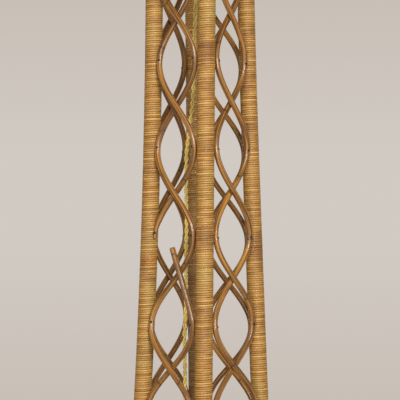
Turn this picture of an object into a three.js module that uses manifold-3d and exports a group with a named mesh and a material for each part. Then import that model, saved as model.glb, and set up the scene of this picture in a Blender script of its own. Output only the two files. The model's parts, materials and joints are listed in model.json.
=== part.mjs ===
// A rattan floor lamp: millimetres, +Z up, origin on the floor under the lamp's axis.
// Four cane-bound rattan posts stand in a square that flares towards the floor, and two rattan
// strips weave between each pair of neighbouring posts. The flex drops through the column to a
// foot switch, a storage coil and a plug on the floor. A disc on the posts carries the
// lampholder, the bulb and a linen shade.

import * as THREE from "three";
import { mergeVertices } from "three/addons/utils/BufferGeometryUtils.js";
import Module from "manifold-3d";

const wasm = await Module();
wasm.setup();

const GAP = 0.3; // air left between pieces that touch

// Column
const COLUMN_HEIGHT = 1250; // floor to the posts' top ends
const POST_CIRCLE = 73; // lamp axis to a post's centre, at the top
const FLARE = 48.5; // how much further out a post's foot stands
const FLARE_POWER = 2.35; // how late the flare starts, going down
const POST_BOW = [0, 5.5, 0, 0]; // how far each post was bent outwards, at mid height
const TWIST = 10; // degrees that the square turns from foot to top
const CORE_RADIUS = 12.4;
const BINDING_THICKNESS = 1.3;
const POST_SIDES = 14;
const POST_STEPS = 9;

// Lattice strips
const STRIP_RADIUS = 4.6;
const STRIP_OUTSET = 6.5; // from the line between two posts out to the strips' mean surface
const STRIP_WEAVE = STRIP_RADIUS + 0.5; // how far each strip passes outside or inside that surface
const STRIP_TAIL = 12; // what runs on along the post past the first and last touch
const TOUCHES = 9; // places where a strip touches a post, top to bottom
const TOP_TOUCH = 23; // first touch, below the top of the column
const BOTTOM_TOUCH = 123; // last touch, above the floor
const FACE_DROP = [4, 6, 4, 0]; // how much lower each face's touches lie, from front right round
const STRIP_SIDES = 6;
const STEPS_PER_TOUCH = 5;
const LOOSE_TOUCH = 4; // the touch where one front left strip ends and its next length starts
const LOOSE_END = 8; // what the upper length runs on past that touch
// The next length's cut end and straight run: [along the face, outset, below the touch].
const LOOSE_RUN = [
  [1, 11.6, 20],
  [15, 11.2, 55],
  [29, 8.6, 93],
];
const LOOSE_JOIN = 129; // where that length falls in with the regular weave, below the touch

// Foot
const GLIDE_RADIUS = 13;
const GLIDE_HEIGHT = 6;
const GLIDE_PIN_RADIUS = 1.2;
const GLIDE_PIN_LENGTH = 14;
const HOOP_HEIGHT = 78;
const HOOP_TUBE = 6;
const SCREW_RADIUS = 2;
const SCREW_HEAD_RADIUS = 3.8;
const SCREW_HEAD_HEIGHT = 2.2;
const HOOP_SCREW_BITE = 12; // how deep a hoop screw goes into the post
const DISC_SCREW_BITE = 26; // how deep a disc screw goes into the post

// Top disc and its fittings
const DISC_THICKNESS = 18;
const DISC_LIP = 4; // what the disc stands out past the posts
const DISC_ROUND = 5;
const NIPPLE_RADIUS = 5;
const NIPPLE_BORE = 4;
const NIPPLE_DROP = 14; // how far the nipple reaches below the disc
const WASHER_RADIUS = 12;
const WASHER_THICKNESS = 1.5;
const NUT_RADIUS = 8.5;
const NUT_HEIGHT = 5;
const BUSH_RADIUS = 6.8;
const BUSH_HEIGHT = 9;
const CUP_RADIUS = 31;
const CUP_HEIGHT = 12;
const CUP_NECK = 10;
const CUP_WALL = 1.2;

// Lampholder and bulb
const HOLDER_RADIUS = 20;
const HOLDER_WALL = 1.8;
const HOLDER_BASE_HEIGHT = 22;
const SHELL_HEIGHT = 38;
const FLANGE_RADIUS = 24;
const FLANGE_HEIGHT = 2;
const FLANGE_RISE = 8; // flange above the shell's lower edge
const INSERT_HEIGHT = 14;
const CARRIER_RING_RADIUS = 26;
const CARRIER_THICKNESS = 1.6;
const RETAINER_RADIUS = 27;
const RETAINER_HEIGHT = 7;
const CAP_RADIUS = 13.2;
const CAP_HEIGHT = 26;
const BULB_RADIUS = 30;
const BULB_NECK = 12;
const BULB_RISE = 44; // centre of the globe above the cap
const GLASS = 1;

// Shade
const SHADE_BOTTOM_RADIUS = 200;
const SHADE_TOP_RADIUS = 150;
const SHADE_HEIGHT = 270;
const SHADE_RISE = 6; // shade's lower edge above the disc
const SHADE_WALL = 1;
const WIRE_RADIUS = 2;
const RING_INSET = 3; // from the shade's edge to a ring's centre
const SPOKES = 3;
const RING_SEGMENTS = 40;

// Flex, switch and plug
const FLEX_RADIUS = 3.5;
const SWITCH_PLACE = [0, 172];
const SWITCH_LENGTH = 76;
const SWITCH_WIDTH = 46;
const SWITCH_CORNER = 12;
const SWITCH_BASE = 4;
const SWITCH_TOP = 24;
const SWITCH_WALL = 2.4;
const GLAND_HEIGHT = 11;
const GLAND_NECK = 4.8;
const GLAND_RADIUS = 6.8;
const GLAND_TIP = 4.7;
const GLAND_LENGTH = 30;
const BUTTON_RADIUS = 13;
const BUTTON_LIP = 2;
const BUTTON_LIP_HEIGHT = 2;
const BUTTON_TOP = 31;
const COIL_PLACE = [125, 118];
const COIL_RADIUS = 39; // middle of the turns
const COIL_WIDTH = 21;
const COIL_HEIGHT = 21;
const TIE_THICKNESS = 0.8;
const TIE_WIDTH = 9;
const PLUG_PLACE = [171, 10]; // the plug's cord end; its pins point towards -Y
const PLUG_LENGTH = 36;
const PLUG_WIDTH = 35;
const PLUG_NOSE = 26;
const PLUG_HEIGHT = 14;
const PLUG_GLAND = 24;
const PIN_RADIUS = 2;
const PIN_LENGTH = 19;
const PIN_BURIED = 8;
const PIN_SPACING = 19;

// The flex's route from the bush down inside the column and over the floor to the switch.
// Its first and last points are set by the parts it meets.
const COLUMN_FLEX = [
  [-1, 0, 1190],
  [-3, 1, 1130],
  [-6.4, 2, 1050],
  [-9, 3, 970],
  [-10.6, 4, 900],
  [-15.5, 4, 852],
  [-20.6, 5, 812],
  [-22, 6, 760],
  [-21, 6, 690],
  [-22.6, 6, 620],
  [-21.6, 6, 575],
  [-24.4, 5, 510],
  [-23.5, 5, 430],
  [-24, 6, 330],
  [-23, 7, 220],
  [-23, 8, 120],
  [-24, 9.5, 74],
  [-25, 11, 48],
  [-27.2, 14.2, 28],
  [-32, 21.1, 16],
  [-38.8, 30.8, 8],
  [-48.5, 45, 4.2],
  [-60, 61.5, 3.8],
  [-72, 78.5, 3.8],
  [-85, 96, 3.8],
  [-99, 114.5, 3.8],
  [-107, 131, 3.9],
  [-106, 148.5, 4.4],
  [-97.5, 163, 5.8],
  [-84, 171, 8],
];
// From the switch to the coil, and from the coil to the plug.
const COIL_FLEX = [
  [80, 170.5, 8],
  [91, 168, 5.2],
  [100, 165.6, 4.8],
];
const PLUG_FLEX = [
  [175.5, 97, 14],
  [176, 76, 9],
  [173, 56, 7.2],
];

// ---------------------------------------------------------------- materials

function finish(color, roughness, metalness = 0) {
  return new THREE.MeshStandardMaterial({ color, roughness, metalness });
}
const rattanCore = finish(0xc79a5e, 0.6);
const cane = finish(0xc4924f, 0.45);
const rattan = finish(0xa5713a, 0.42);
const wood = finish(0x8a5a2e, 0.5);
const brass = finish(0xb9924a, 0.3, 1);
const steel = finish(0x8f8f8c, 0.35, 1);
const bakelite = finish(0x2a1d16, 0.35);
const ceramic = finish(0xe9e4d8, 0.3);
const glass = finish(0xf6f3ea, 0.15);
const linen = finish(0xe4d8bf, 0.9);
const silk = finish(0xc9a24a, 0.55);
const rubber = finish(0x3b342d, 0.8);

// ---------------------------------------------------------------- helpers

const lamp = new THREE.Group();

function add(name, geometry, material) {
  const mesh = new THREE.Mesh(geometry, material);
  mesh.name = name;
  lamp.add(mesh);
}

// A solid of revolution about Z from [radius, height] points.
function turned(profile, segments) {
  const points = profile.map(([r, z]) => new THREE.Vector2(r, z));
  return new THREE.LatheGeometry(points, segments).rotateX(Math.PI / 2);
}

// A ring about Z with a rectangular section.
function ring(inner, outer, bottom, top, segments) {
  const corners = [
    [inner, bottom],
    [outer, bottom],
    [outer, top],
    [inner, top],
    [inner, bottom],
  ];
  return turned(corners, segments);
}

function rod(radius, length, sides) {
  return new THREE.CylinderGeometry(radius, radius, length, sides).rotateX(Math.PI / 2);
}

// A round bar along a smooth curve through the points.
function bar(points, radius, sides, steps) {
  const section = new THREE.Shape();
  for (let i = 0; i < sides; i++) {
    const angle = (2 * Math.PI * i) / sides;
    const x = radius * Math.cos(angle);
    const y = radius * Math.sin(angle);
    if (i) section.lineTo(x, y);
    else section.moveTo(x, y);
  }
  const extrudePath = new THREE.CatmullRomCurve3(points.map((p) => new THREE.Vector3(...p)));
  return new THREE.ExtrudeGeometry(section, { steps, extrudePath });
}

// A flat block with rounded corners, centred on the origin, from bottom to top.
function block(length, width, corner, bottom, top) {
  const x = length / 2;
  const y = width / 2;
  const outline = new THREE.Shape();
  outline.absarc(x - corner, y - corner, corner, 0, Math.PI / 2);
  outline.absarc(corner - x, y - corner, corner, Math.PI / 2, Math.PI);
  outline.absarc(corner - x, corner - y, corner, Math.PI, 1.5 * Math.PI);
  outline.absarc(x - corner, corner - y, corner, 1.5 * Math.PI, 2 * Math.PI);
  const options = { depth: top - bottom, bevelEnabled: false, curveSegments: 4 };
  return new THREE.ExtrudeGeometry(outline, options).translate(0, 0, bottom);
}

function solid(geometry) {
  const bare = geometry.index ? geometry.toNonIndexed() : geometry.clone();
  bare.deleteAttribute("normal");
  bare.deleteAttribute("uv");
  const merged = mergeVertices(bare, 1e-3);
  const vertProperties = new Float32Array(merged.attributes.position.array);
  const triVerts = new Uint32Array(merged.index.array);
  return new wasm.Manifold(new wasm.Mesh({ numProp: 3, vertProperties, triVerts }));
}

function surface(body) {
  const mesh = body.getMesh();
  const geometry = new THREE.BufferGeometry();
  geometry.setAttribute("position", new THREE.BufferAttribute(mesh.vertProperties, mesh.numProp));
  geometry.setIndex(new THREE.BufferAttribute(mesh.triVerts, 1));
  return geometry;
}

function cut(geometry, ...tools) {
  return surface(tools.reduce((body, tool) => body.subtract(solid(tool)), solid(geometry)));
}

function join(geometry, ...others) {
  return surface(others.reduce((body, other) => body.add(solid(other)), solid(geometry)));
}

// Turns a geometry made along +Z so that it starts at a place and points along a direction.
function aim(geometry, place, direction) {
  const up = new THREE.Vector3(0, 0, 1);
  const turn = new THREE.Quaternion().setFromUnitVectors(up, direction.clone().normalize());
  return geometry.applyQuaternion(turn).translate(place.x, place.y, place.z);
}

// ---------------------------------------------------------------- column

const POSTS = ["front", "right", "back", "left"];
const postRadius = CORE_RADIUS + GAP + BINDING_THICKNESS;
const postBottom = GLIDE_HEIGHT + GAP;

function postDistance(z) {
  return POST_CIRCLE + FLARE * Math.pow(Math.max(0, 1 - z / COLUMN_HEIGHT), FLARE_POWER);
}

function postAngle(post, z) {
  const twist = TWIST * (z / COLUMN_HEIGHT - 0.5);
  return THREE.MathUtils.degToRad(90 * (post - 1) + twist);
}

function postCentre(post, z) {
  const angle = postAngle(post, z);
  const share = Math.min(Math.max(z / COLUMN_HEIGHT, 0), 1);
  const bow = POST_BOW[post % 4] * Math.sin(Math.PI * share) ** 2;
  const distance = postDistance(z) + bow;
  return new THREE.Vector3(distance * Math.cos(angle), distance * Math.sin(angle), z);
}

// Carries an upright geometry onto a post's curved line, each level staying level.
function bendToPost(geometry, post) {
  const place = geometry.attributes.position;
  for (let i = 0; i < place.count; i++) {
    const centre = postCentre(post, place.getZ(i));
    place.setX(i, place.getX(i) + centre.x);
    place.setY(i, place.getY(i) + centre.y);
  }
  return geometry;
}

function sleeveProfile(inner, outer, bottom, top, steps) {
  const level = (i) => bottom + ((top - bottom) * i) / steps;
  const up = Array.from({ length: steps + 1 }, (_, i) => [outer, level(i)]);
  const down = Array.from({ length: steps + 1 }, (_, i) => [inner, level(steps - i)]);
  return [...up, ...down, [outer, bottom]];
}

const hoopRadius = postDistance(HOOP_HEIGHT + HOOP_TUBE) - postRadius - HOOP_TUBE - GAP;
const discBottom = COLUMN_HEIGHT + GAP;
const discTop = discBottom + DISC_THICKNESS;

function countersunkScrew(radius, headRadius, length) {
  const profile = [
    [0, 0],
    [headRadius, 0],
    [radius, SCREW_HEAD_HEIGHT],
    [radius, length],
    [0, length],
  ];
  return turned(profile, 8);
}

function hoopScrew(post, slack) {
  const angle = postAngle(post, HOOP_HEIGHT);
  const outwards = new THREE.Vector3(Math.cos(angle), Math.sin(angle), 0);
  const start = outwards.clone().multiplyScalar(hoopRadius - HOOP_TUBE + 1);
  start.z = HOOP_HEIGHT;
  const length = 2 * HOOP_TUBE - 1 + GAP + HOOP_SCREW_BITE + slack;
  const screw = countersunkScrew(SCREW_RADIUS + slack, SCREW_HEAD_RADIUS + slack, length);
  return aim(screw, start, outwards);
}

function discScrew(post, slack) {
  const start = postCentre(post, COLUMN_HEIGHT);
  start.z = discTop;
  const length = DISC_THICKNESS + GAP + DISC_SCREW_BITE + slack;
  const screw = countersunkScrew(SCREW_RADIUS + slack, SCREW_HEAD_RADIUS + slack, length);
  return aim(screw, start, new THREE.Vector3(0, 0, -1));
}

// The head side of a screw's hole, open past the surface that the head sits in.
function headWell(screw, place, direction) {
  const well = rod(SCREW_HEAD_RADIUS + GAP, 4, 8).translate(0, 0, -2 + 0.01);
  return [screw, aim(well, place, direction)];
}

function glidePin(post, slack) {
  const centre = postCentre(post, postBottom);
  const pin = rod(GLIDE_PIN_RADIUS + slack, GLIDE_PIN_LENGTH + slack, 8);
  return pin.translate(centre.x, centre.y, GLIDE_HEIGHT + (GLIDE_PIN_LENGTH + slack) / 2);
}

function addPost(post) {
  const name = POSTS[post];
  const height = COLUMN_HEIGHT - postBottom;
  const upright = new THREE.CylinderGeometry(
    CORE_RADIUS,
    CORE_RADIUS,
    height,
    POST_SIDES,
    POST_STEPS,
  ).rotateX(Math.PI / 2);
  const core = bendToPost(upright.translate(0, 0, postBottom + height / 2), post);
  const holes = [discScrew(post, GAP), hoopScrew(post, GAP), glidePin(post, GAP)];
  add(`post_core_${name}`, cut(core, ...holes), rattanCore);

  const inner = CORE_RADIUS + GAP;
  const profile = sleeveProfile(inner, postRadius, postBottom, COLUMN_HEIGHT, POST_STEPS);
  const binding = bendToPost(turned(profile, POST_SIDES), post);
  add(`post_binding_${name}`, cut(binding, hoopScrew(post, GAP)), cane);

  add(`hoop_screw_${name}`, hoopScrew(post, 0), brass);
  add(`disc_screw_${name}`, discScrew(post, 0), brass);

  const centre = postCentre(post, postBottom);
  const edge = 1.5;
  const pad = turned(
    [
      [0, 0],
      [GLIDE_RADIUS - edge, 0],
      [GLIDE_RADIUS, edge],
      [GLIDE_RADIUS, GLIDE_HEIGHT],
      [0, GLIDE_HEIGHT],
    ],
    16,
  ).translate(centre.x, centre.y, 0);
  const pin = glidePin(post, 0).translate(0, 0, -0.5);
  add(`foot_glide_${name}`, join(pad, pin), rubber);
}
POSTS.forEach((_, post) => addPost(post));

function addHoop() {
  const torus = new THREE.TorusGeometry(hoopRadius, HOOP_TUBE, 8, 32);
  const holes = POSTS.flatMap((_, post) => {
    const angle = postAngle(post, HOOP_HEIGHT);
    const outwards = new THREE.Vector3(Math.cos(angle), Math.sin(angle), 0);
    const place = outwards.clone().multiplyScalar(hoopRadius - HOOP_TUBE + 1);
    place.z = HOOP_HEIGHT;
    return headWell(hoopScrew(post, GAP), place, outwards);
  });
  add("base_hoop", cut(torus.translate(0, 0, HOOP_HEIGHT), ...holes), rattan);
}
addHoop();

// ---------------------------------------------------------------- lattice

const FACES = ["front_right", "back_right", "back_left", "front_left"];
const touchPitch = (COLUMN_HEIGHT - TOP_TOUCH - BOTTOM_TOUCH) / (TOUCHES - 1);
const touchSide = Math.sqrt((postRadius + STRIP_RADIUS + GAP) ** 2 - STRIP_OUTSET ** 2);

function touchHeight(face, touch) {
  return COLUMN_HEIGHT - TOP_TOUCH - FACE_DROP[face] - touch * touchPitch;
}

// A place on a face: how far along it from its middle, and how far outside the posts' line.
function facePoint(face, z, along, outset) {
  const first = postCentre(face, z);
  const second = postCentre(face + 1, z);
  const middle = first.clone().add(second).multiplyScalar(0.5);
  const side = second.clone().sub(first).normalize().multiplyScalar(along);
  const outwards = new THREE.Vector3(middle.x, middle.y, 0).normalize().multiplyScalar(outset);
  return middle.add(side).add(outwards).toArray();
}

// Each strip swings from post to post, passing outside the other on its way to the right.
function stripPoint(face, strand, z) {
  const swing = (touchHeight(face, 0) - z) / touchPitch;
  const phase = Math.PI * (Math.min(Math.max(swing, 0), TOUCHES - 1) + strand);
  const halfChord = postCentre(face, z).distanceTo(postCentre(face + 1, z)) / 2;
  const along = -Math.cos(phase) * (halfChord - touchSide);
  return facePoint(face, z, along, STRIP_OUTSET + STRIP_WEAVE * Math.sin(phase));
}

function stripRun(face, strand, top, bottom) {
  const steps = Math.round(((top - bottom) / touchPitch) * STEPS_PER_TOUCH);
  const level = (i) => top + ((bottom - top) * i) / steps;
  return Array.from({ length: steps + 1 }, (_, i) => stripPoint(face, strand, level(i)));
}

function addStrip(name, points) {
  add(name, bar(points, STRIP_RADIUS, STRIP_SIDES, points.length - 1), rattan);
}

function addFace(face) {
  const name = FACES[face];
  const top = touchHeight(face, 0) + STRIP_TAIL;
  const bottom = touchHeight(face, TOUCHES - 1) - STRIP_TAIL;
  addStrip(`${name}_strip_b`, stripRun(face, 1, top, bottom));
  if (name !== "front_left") {
    addStrip(`${name}_strip_a`, stripRun(face, 0, top, bottom));
    return;
  }
  const loose = touchHeight(face, LOOSE_TOUCH);
  addStrip(`${name}_strip_a_upper`, stripRun(face, 0, top, loose - LOOSE_END));
  const start = LOOSE_RUN.map(([along, outset, drop]) =>
    facePoint(face, loose - drop, along, outset),
  );
  const rest = stripRun(face, 0, loose - LOOSE_JOIN, bottom);
  addStrip(`${name}_strip_a_lower`, [...start, ...rest]);
}
FACES.forEach((_, face) => addFace(face));

// ---------------------------------------------------------------- top disc and fittings

const discRadius = POST_CIRCLE + postRadius + DISC_LIP;
const nippleHole = NIPPLE_RADIUS + GAP;
const cupBottom = discTop + GAP;
const cupTop = cupBottom + CUP_HEIGHT;
const holderBottom = cupTop + GAP;
const nippleTop = holderBottom + 9;
const nippleBottom = discBottom - NIPPLE_DROP;

function addDisc() {
  const profile = [
    [nippleHole, discBottom],
    [discRadius, discBottom],
    [discRadius, discTop - DISC_ROUND],
    [discRadius - 0.3 * DISC_ROUND, discTop - 0.3 * DISC_ROUND],
    [discRadius - DISC_ROUND, discTop],
    [nippleHole, discTop],
    [nippleHole, discBottom],
  ];
  const holes = POSTS.flatMap((_, post) => {
    const place = postCentre(post, COLUMN_HEIGHT);
    place.z = discTop;
    return headWell(discScrew(post, GAP), place, new THREE.Vector3(0, 0, -1));
  });
  add("top_disc", cut(turned(profile, 36), ...holes), wood);
}
addDisc();

add("nipple", ring(NIPPLE_BORE, NIPPLE_RADIUS, nippleBottom, nippleTop, 14), steel);
const washerBottom = discBottom - GAP - WASHER_THICKNESS;
add("nipple_washer", ring(nippleHole, WASHER_RADIUS, washerBottom, discBottom - GAP, 16), steel);
const nutTop = washerBottom - GAP;
const nut = cut(rod(NUT_RADIUS, NUT_HEIGHT, 6), rod(nippleHole, NUT_HEIGHT + 2, 14));
add("nipple_nut", nut.translate(0, 0, nutTop - NUT_HEIGHT / 2), brass);

// The bush is a collar under the nipple that keeps its edge off the flex.
const bushTop = nippleBottom + 2;
const bushBottom = bushTop - BUSH_HEIGHT;
const bushProfile = [
  [FLEX_RADIUS + GAP, bushBottom],
  [BUSH_RADIUS - 1.5, bushBottom],
  [BUSH_RADIUS, bushBottom + 2],
  [BUSH_RADIUS, bushTop],
  [nippleHole, bushTop],
  [nippleHole, nippleBottom - GAP],
  [FLEX_RADIUS + GAP, nippleBottom - GAP],
  [FLEX_RADIUS + GAP, bushBottom],
];
add("cord_bush", turned(bushProfile, 14), bakelite);

const cupProfile = [
  [nippleHole, cupTop - CUP_WALL],
  [CUP_NECK, cupTop - CUP_WALL],
  [CUP_RADIUS - 6, cupBottom + 3],
  [CUP_RADIUS - CUP_WALL, cupBottom],
  [CUP_RADIUS, cupBottom],
  [CUP_RADIUS - 5, cupBottom + 4.4],
  [CUP_NECK + 0.6, cupTop],
  [nippleHole, cupTop],
  [nippleHole, cupTop - CUP_WALL],
];
add("brass_cup", turned(cupProfile, 20), brass);

// ---------------------------------------------------------------- lampholder and bulb

const holderInside = HOLDER_RADIUS - HOLDER_WALL;
const holderTop = holderBottom + HOLDER_BASE_HEIGHT;
const floorTop = holderBottom + 2;
const holderProfile = [
  [nippleHole, holderBottom],
  [CUP_NECK + 1, holderBottom],
  [HOLDER_RADIUS, holderBottom + 9],
  [HOLDER_RADIUS, holderTop],
  [holderInside, holderTop],
  [holderInside, holderBottom + 10],
  [CUP_NECK, floorTop],
  [nippleHole, floorTop],
  [nippleHole, holderBottom],
];
add("lampholder_base", turned(holderProfile, 20), bakelite);

const insertBottom = nippleTop + 3;
const insertTop = insertBottom + INSERT_HEIGHT;
const wireHole = new THREE.BoxGeometry(6, 6, INSERT_HEIGHT + 2);
const insertBody = rod(holderInside - GAP, INSERT_HEIGHT, 20);
const insertMiddle = (insertBottom + insertTop) / 2;
const insert = cut(insertBody, wireHole.translate(0, 11, 0));
add("lampholder_insert", insert.translate(0, 0, insertMiddle), ceramic);

const shellBottom = holderTop + GAP;
const shellTop = shellBottom + SHELL_HEIGHT;
const flangeBottom = shellBottom + FLANGE_RISE;
const flangeTop = flangeBottom + FLANGE_HEIGHT;
const shellProfile = [
  [holderInside, shellBottom],
  [HOLDER_RADIUS, shellBottom],
  [HOLDER_RADIUS, flangeBottom],
  [FLANGE_RADIUS, flangeBottom],
  [FLANGE_RADIUS, flangeTop],
  [HOLDER_RADIUS, flangeTop],
  [HOLDER_RADIUS, shellTop],
  [holderInside, shellTop],
  [holderInside, shellBottom],
];
add("lampholder_shell", turned(shellProfile, 20), bakelite);

const capBottom = insertTop + GAP;
const capTop = capBottom + CAP_HEIGHT;
const capProfile = [
  [0, capBottom],
  [5, capBottom],
  [CAP_RADIUS, capBottom + 5],
  [CAP_RADIUS, capTop],
  [0, capTop],
];
add("bulb_cap", turned(capProfile, 20), steel);

// The glass is a globe on a flared neck, blown in one piece and open where the cap closes it.
function addBulbGlass() {
  const bottom = capTop + GAP;
  const centre = bottom + BULB_RISE;
  const globe = (radius) =>
    Array.from({ length: 8 }, (_, i) => {
      const angle = THREE.MathUtils.degToRad(-50 + 20 * i);
      return [radius * Math.cos(angle), centre + radius * Math.sin(angle)];
    });
  const outer = [[BULB_NECK, bottom], [BULB_NECK + 1.5, bottom + 10], ...globe(BULB_RADIUS)];
  const inner = [
    [BULB_NECK - GLASS, bottom],
    [BULB_NECK + 1.5 - GLASS, bottom + 10.4],
    ...globe(BULB_RADIUS - GLASS),
  ];
  outer.push([0, centre + BULB_RADIUS]);
  inner.push([0, centre + BULB_RADIUS - GLASS]);
  add("bulb_glass", cut(turned([[0, bottom], ...outer], 14), turned(bulbHollow(inner), 14)), glass);
}

// The space inside the glass, running on a little below its open neck.
function bulbHollow(inner) {
  const [neck, bottom] = inner[0];
  return [[0, bottom - 1], [neck, bottom - 1], ...inner.slice(1)];
}
addBulbGlass();

// ---------------------------------------------------------------- shade

const shadeBottom = discTop + SHADE_RISE;
const shadeTop = shadeBottom + SHADE_HEIGHT;

// The cover's outer radius at a height, on a straight cone.
function coverRadius(z) {
  const share = (z - shadeBottom) / SHADE_HEIGHT;
  return SHADE_BOTTOM_RADIUS + (SHADE_TOP_RADIUS - SHADE_BOTTOM_RADIUS) * share;
}

function wireRadiusAt(z) {
  const narrowest = Math.min(coverRadius(z - WIRE_RADIUS), coverRadius(z + WIRE_RADIUS));
  return narrowest - SHADE_WALL - GAP - WIRE_RADIUS;
}

const coverProfile = [
  [SHADE_BOTTOM_RADIUS - SHADE_WALL, shadeBottom],
  [SHADE_BOTTOM_RADIUS, shadeBottom],
  [SHADE_TOP_RADIUS, shadeTop],
  [SHADE_TOP_RADIUS - SHADE_WALL, shadeTop],
  [SHADE_BOTTOM_RADIUS - SHADE_WALL, shadeBottom],
];
add("shade_cover", turned(coverProfile, 40), linen);

const lowerRing = shadeBottom + RING_INSET;
const upperRing = shadeTop - RING_INSET;
[
  ["shade_ring_bottom", lowerRing],
  ["shade_ring_top", upperRing],
].forEach(([name, z]) => {
  const torus = new THREE.TorusGeometry(wireRadiusAt(z), WIRE_RADIUS, 6, RING_SEGMENTS);
  add(name, torus.translate(0, 0, z), brass);
});

// The carrier clamps on the lampholder's shell, and its spokes run out and down to the ring.
function addCarrier() {
  const bore = HOLDER_RADIUS + GAP;
  const bottom = flangeTop + GAP;
  const top = bottom + CARRIER_THICKNESS;
  const middle = (bottom + top) / 2;
  const flat = Math.cos(Math.PI / RING_SEGMENTS); // the ring's straight lengths lie a little inside
  const end = wireRadiusAt(lowerRing) * flat - WIRE_RADIUS - GAP;
  const spokes = Array.from({ length: SPOKES }, (_, i) => {
    const points = [
      [CARRIER_RING_RADIUS - 2, 0, middle],
      [CARRIER_RING_RADIUS + 8, 0, middle],
      [end - 14, 0, lowerRing + 2],
      [end, 0, lowerRing],
    ];
    const spoke = bar(points, WIRE_RADIUS, 6, 8);
    return spoke.rotateZ(((2 * i + 0.5) * Math.PI) / SPOKES);
  });
  add("shade_carrier", join(ring(bore, CARRIER_RING_RADIUS, bottom, top, 24), ...spokes), brass);
  const retainerBottom = top + WIRE_RADIUS + GAP;
  const retainerTop = retainerBottom + RETAINER_HEIGHT;
  add("shade_retainer", ring(bore, RETAINER_RADIUS, retainerBottom, retainerTop, 24), bakelite);
}
addCarrier();

// ---------------------------------------------------------------- flex and foot switch

function addFlex(name, points, steps) {
  add(name, bar(points, FLEX_RADIUS, 8, steps), silk);
}
const [switchX, switchY] = SWITCH_PLACE;
const glandTip = SWITCH_LENGTH / 2 + GLAND_LENGTH + GAP;
const bushEnd = [0, 0, bushBottom - GAP];
const switchInlet = [switchX - glandTip, switchY, GLAND_HEIGHT];
const switchOutlet = [switchX + glandTip, switchY, GLAND_HEIGHT];
const plugEnd = [PLUG_PLACE[0], PLUG_PLACE[1] + PLUG_GLAND + GAP, PLUG_HEIGHT / 2];
addFlex("flex_in_column", [bushEnd, ...COLUMN_FLEX, switchInlet], 64);
addFlex("flex_to_coil", [switchOutlet, ...COIL_FLEX], 4);
addFlex("flex_to_plug", [...PLUG_FLEX, plugEnd], 6);

// A tapered sleeve along +Z: a neck inside the wall, a collar, then a taper to the tip.
function gland(neckLength, length) {
  const bore = FLEX_RADIUS + GAP;
  const profile = [
    [bore, -neckLength],
    [GLAND_NECK, -neckLength],
    [GLAND_NECK, GAP],
    [GLAND_RADIUS, GAP],
    [GLAND_TIP, length],
    [bore, length],
    [bore, -neckLength],
  ];
  return turned(profile, 12);
}

function addSwitch() {
  const [x, y] = SWITCH_PLACE;
  const place = (geometry) => geometry.translate(x, y, 0);
  const coverBottom = SWITCH_BASE + GAP;
  const roof = SWITCH_TOP - SWITCH_WALL;
  add(
    "switch_base",
    place(block(SWITCH_LENGTH, SWITCH_WIDTH, SWITCH_CORNER, 0, SWITCH_BASE)),
    bakelite,
  );

  const outside = block(SWITCH_LENGTH, SWITCH_WIDTH, SWITCH_CORNER, coverBottom, SWITCH_TOP);
  const inside = block(
    SWITCH_LENGTH - 2 * SWITCH_WALL,
    SWITCH_WIDTH - 2 * SWITCH_WALL,
    SWITCH_CORNER - SWITCH_WALL,
    coverBottom - 1,
    roof,
  );
  const well = rod(BUTTON_RADIUS + GAP, 20, 24).translate(0, 0, SWITCH_TOP);
  const glandHoles = rod(GLAND_NECK + GAP, SWITCH_LENGTH + 4, 12).rotateY(Math.PI / 2);
  glandHoles.translate(0, 0, GLAND_HEIGHT);
  add("switch_cover", place(cut(outside, inside, well, glandHoles)), bakelite);

  const lip = BUTTON_RADIUS + BUTTON_LIP;
  const lipTop = roof - GAP;
  const buttonProfile = [
    [0, lipTop - BUTTON_LIP_HEIGHT],
    [lip, lipTop - BUTTON_LIP_HEIGHT],
    [lip, lipTop],
    [BUTTON_RADIUS, lipTop],
    [BUTTON_RADIUS, BUTTON_TOP - 2.5],
    [BUTTON_RADIUS - 2.5, BUTTON_TOP - 0.5],
    [0, BUTTON_TOP],
  ];
  add("switch_button", place(turned(buttonProfile, 24)), bakelite);

  const wall = SWITCH_LENGTH / 2;
  const ends = [
    ["switch_gland_in", -1],
    ["switch_gland_out", 1],
  ];
  ends.forEach(([name, side]) => {
    const start = new THREE.Vector3(x + side * wall, y, GLAND_HEIGHT);
    const piece = gland(SWITCH_WALL + 1.5, GLAND_LENGTH);
    add(name, aim(piece, start, new THREE.Vector3(side, 0, 0)), rubber);
  });
}
addSwitch();

// ---------------------------------------------------------------- coil and plug

function addCoil() {
  const [x, y] = COIL_PLACE;
  const inner = COIL_RADIUS - COIL_WIDTH / 2;
  const outer = COIL_RADIUS + COIL_WIDTH / 2;
  const bottom = TIE_THICKNESS + GAP;
  const top = bottom + COIL_HEIGHT;
  const bevel = 3;
  const profile = [
    [inner, bottom + bevel],
    [inner + bevel, bottom],
    [outer - bevel, bottom],
    [outer, bottom + bevel],
    [outer, top - bevel],
    [outer - bevel, top],
    [inner + bevel, top],
    [inner, top - bevel],
    [inner, bottom + bevel],
  ];
  add("flex_coil", turned(profile, 32).translate(x, y, 0), silk);

  const bow = inner - Math.sqrt(inner ** 2 - (TIE_WIDTH / 2) ** 2); // the ring's curve in the tie
  const width = COIL_WIDTH + 2 * (GAP + bow);
  const height = COIL_HEIGHT + 2 * GAP;
  const hollow = new THREE.BoxGeometry(width, TIE_WIDTH + 2, height);
  const outside = [width + 2 * TIE_THICKNESS, TIE_WIDTH, height + 2 * TIE_THICKNESS];
  const tie = cut(new THREE.BoxGeometry(...outside), hollow);
  tie.translate(-COIL_RADIUS, 0, height / 2 + TIE_THICKNESS);
  add("coil_tie", tie.translate(x, y, 0), rubber);
}
addCoil();

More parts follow.
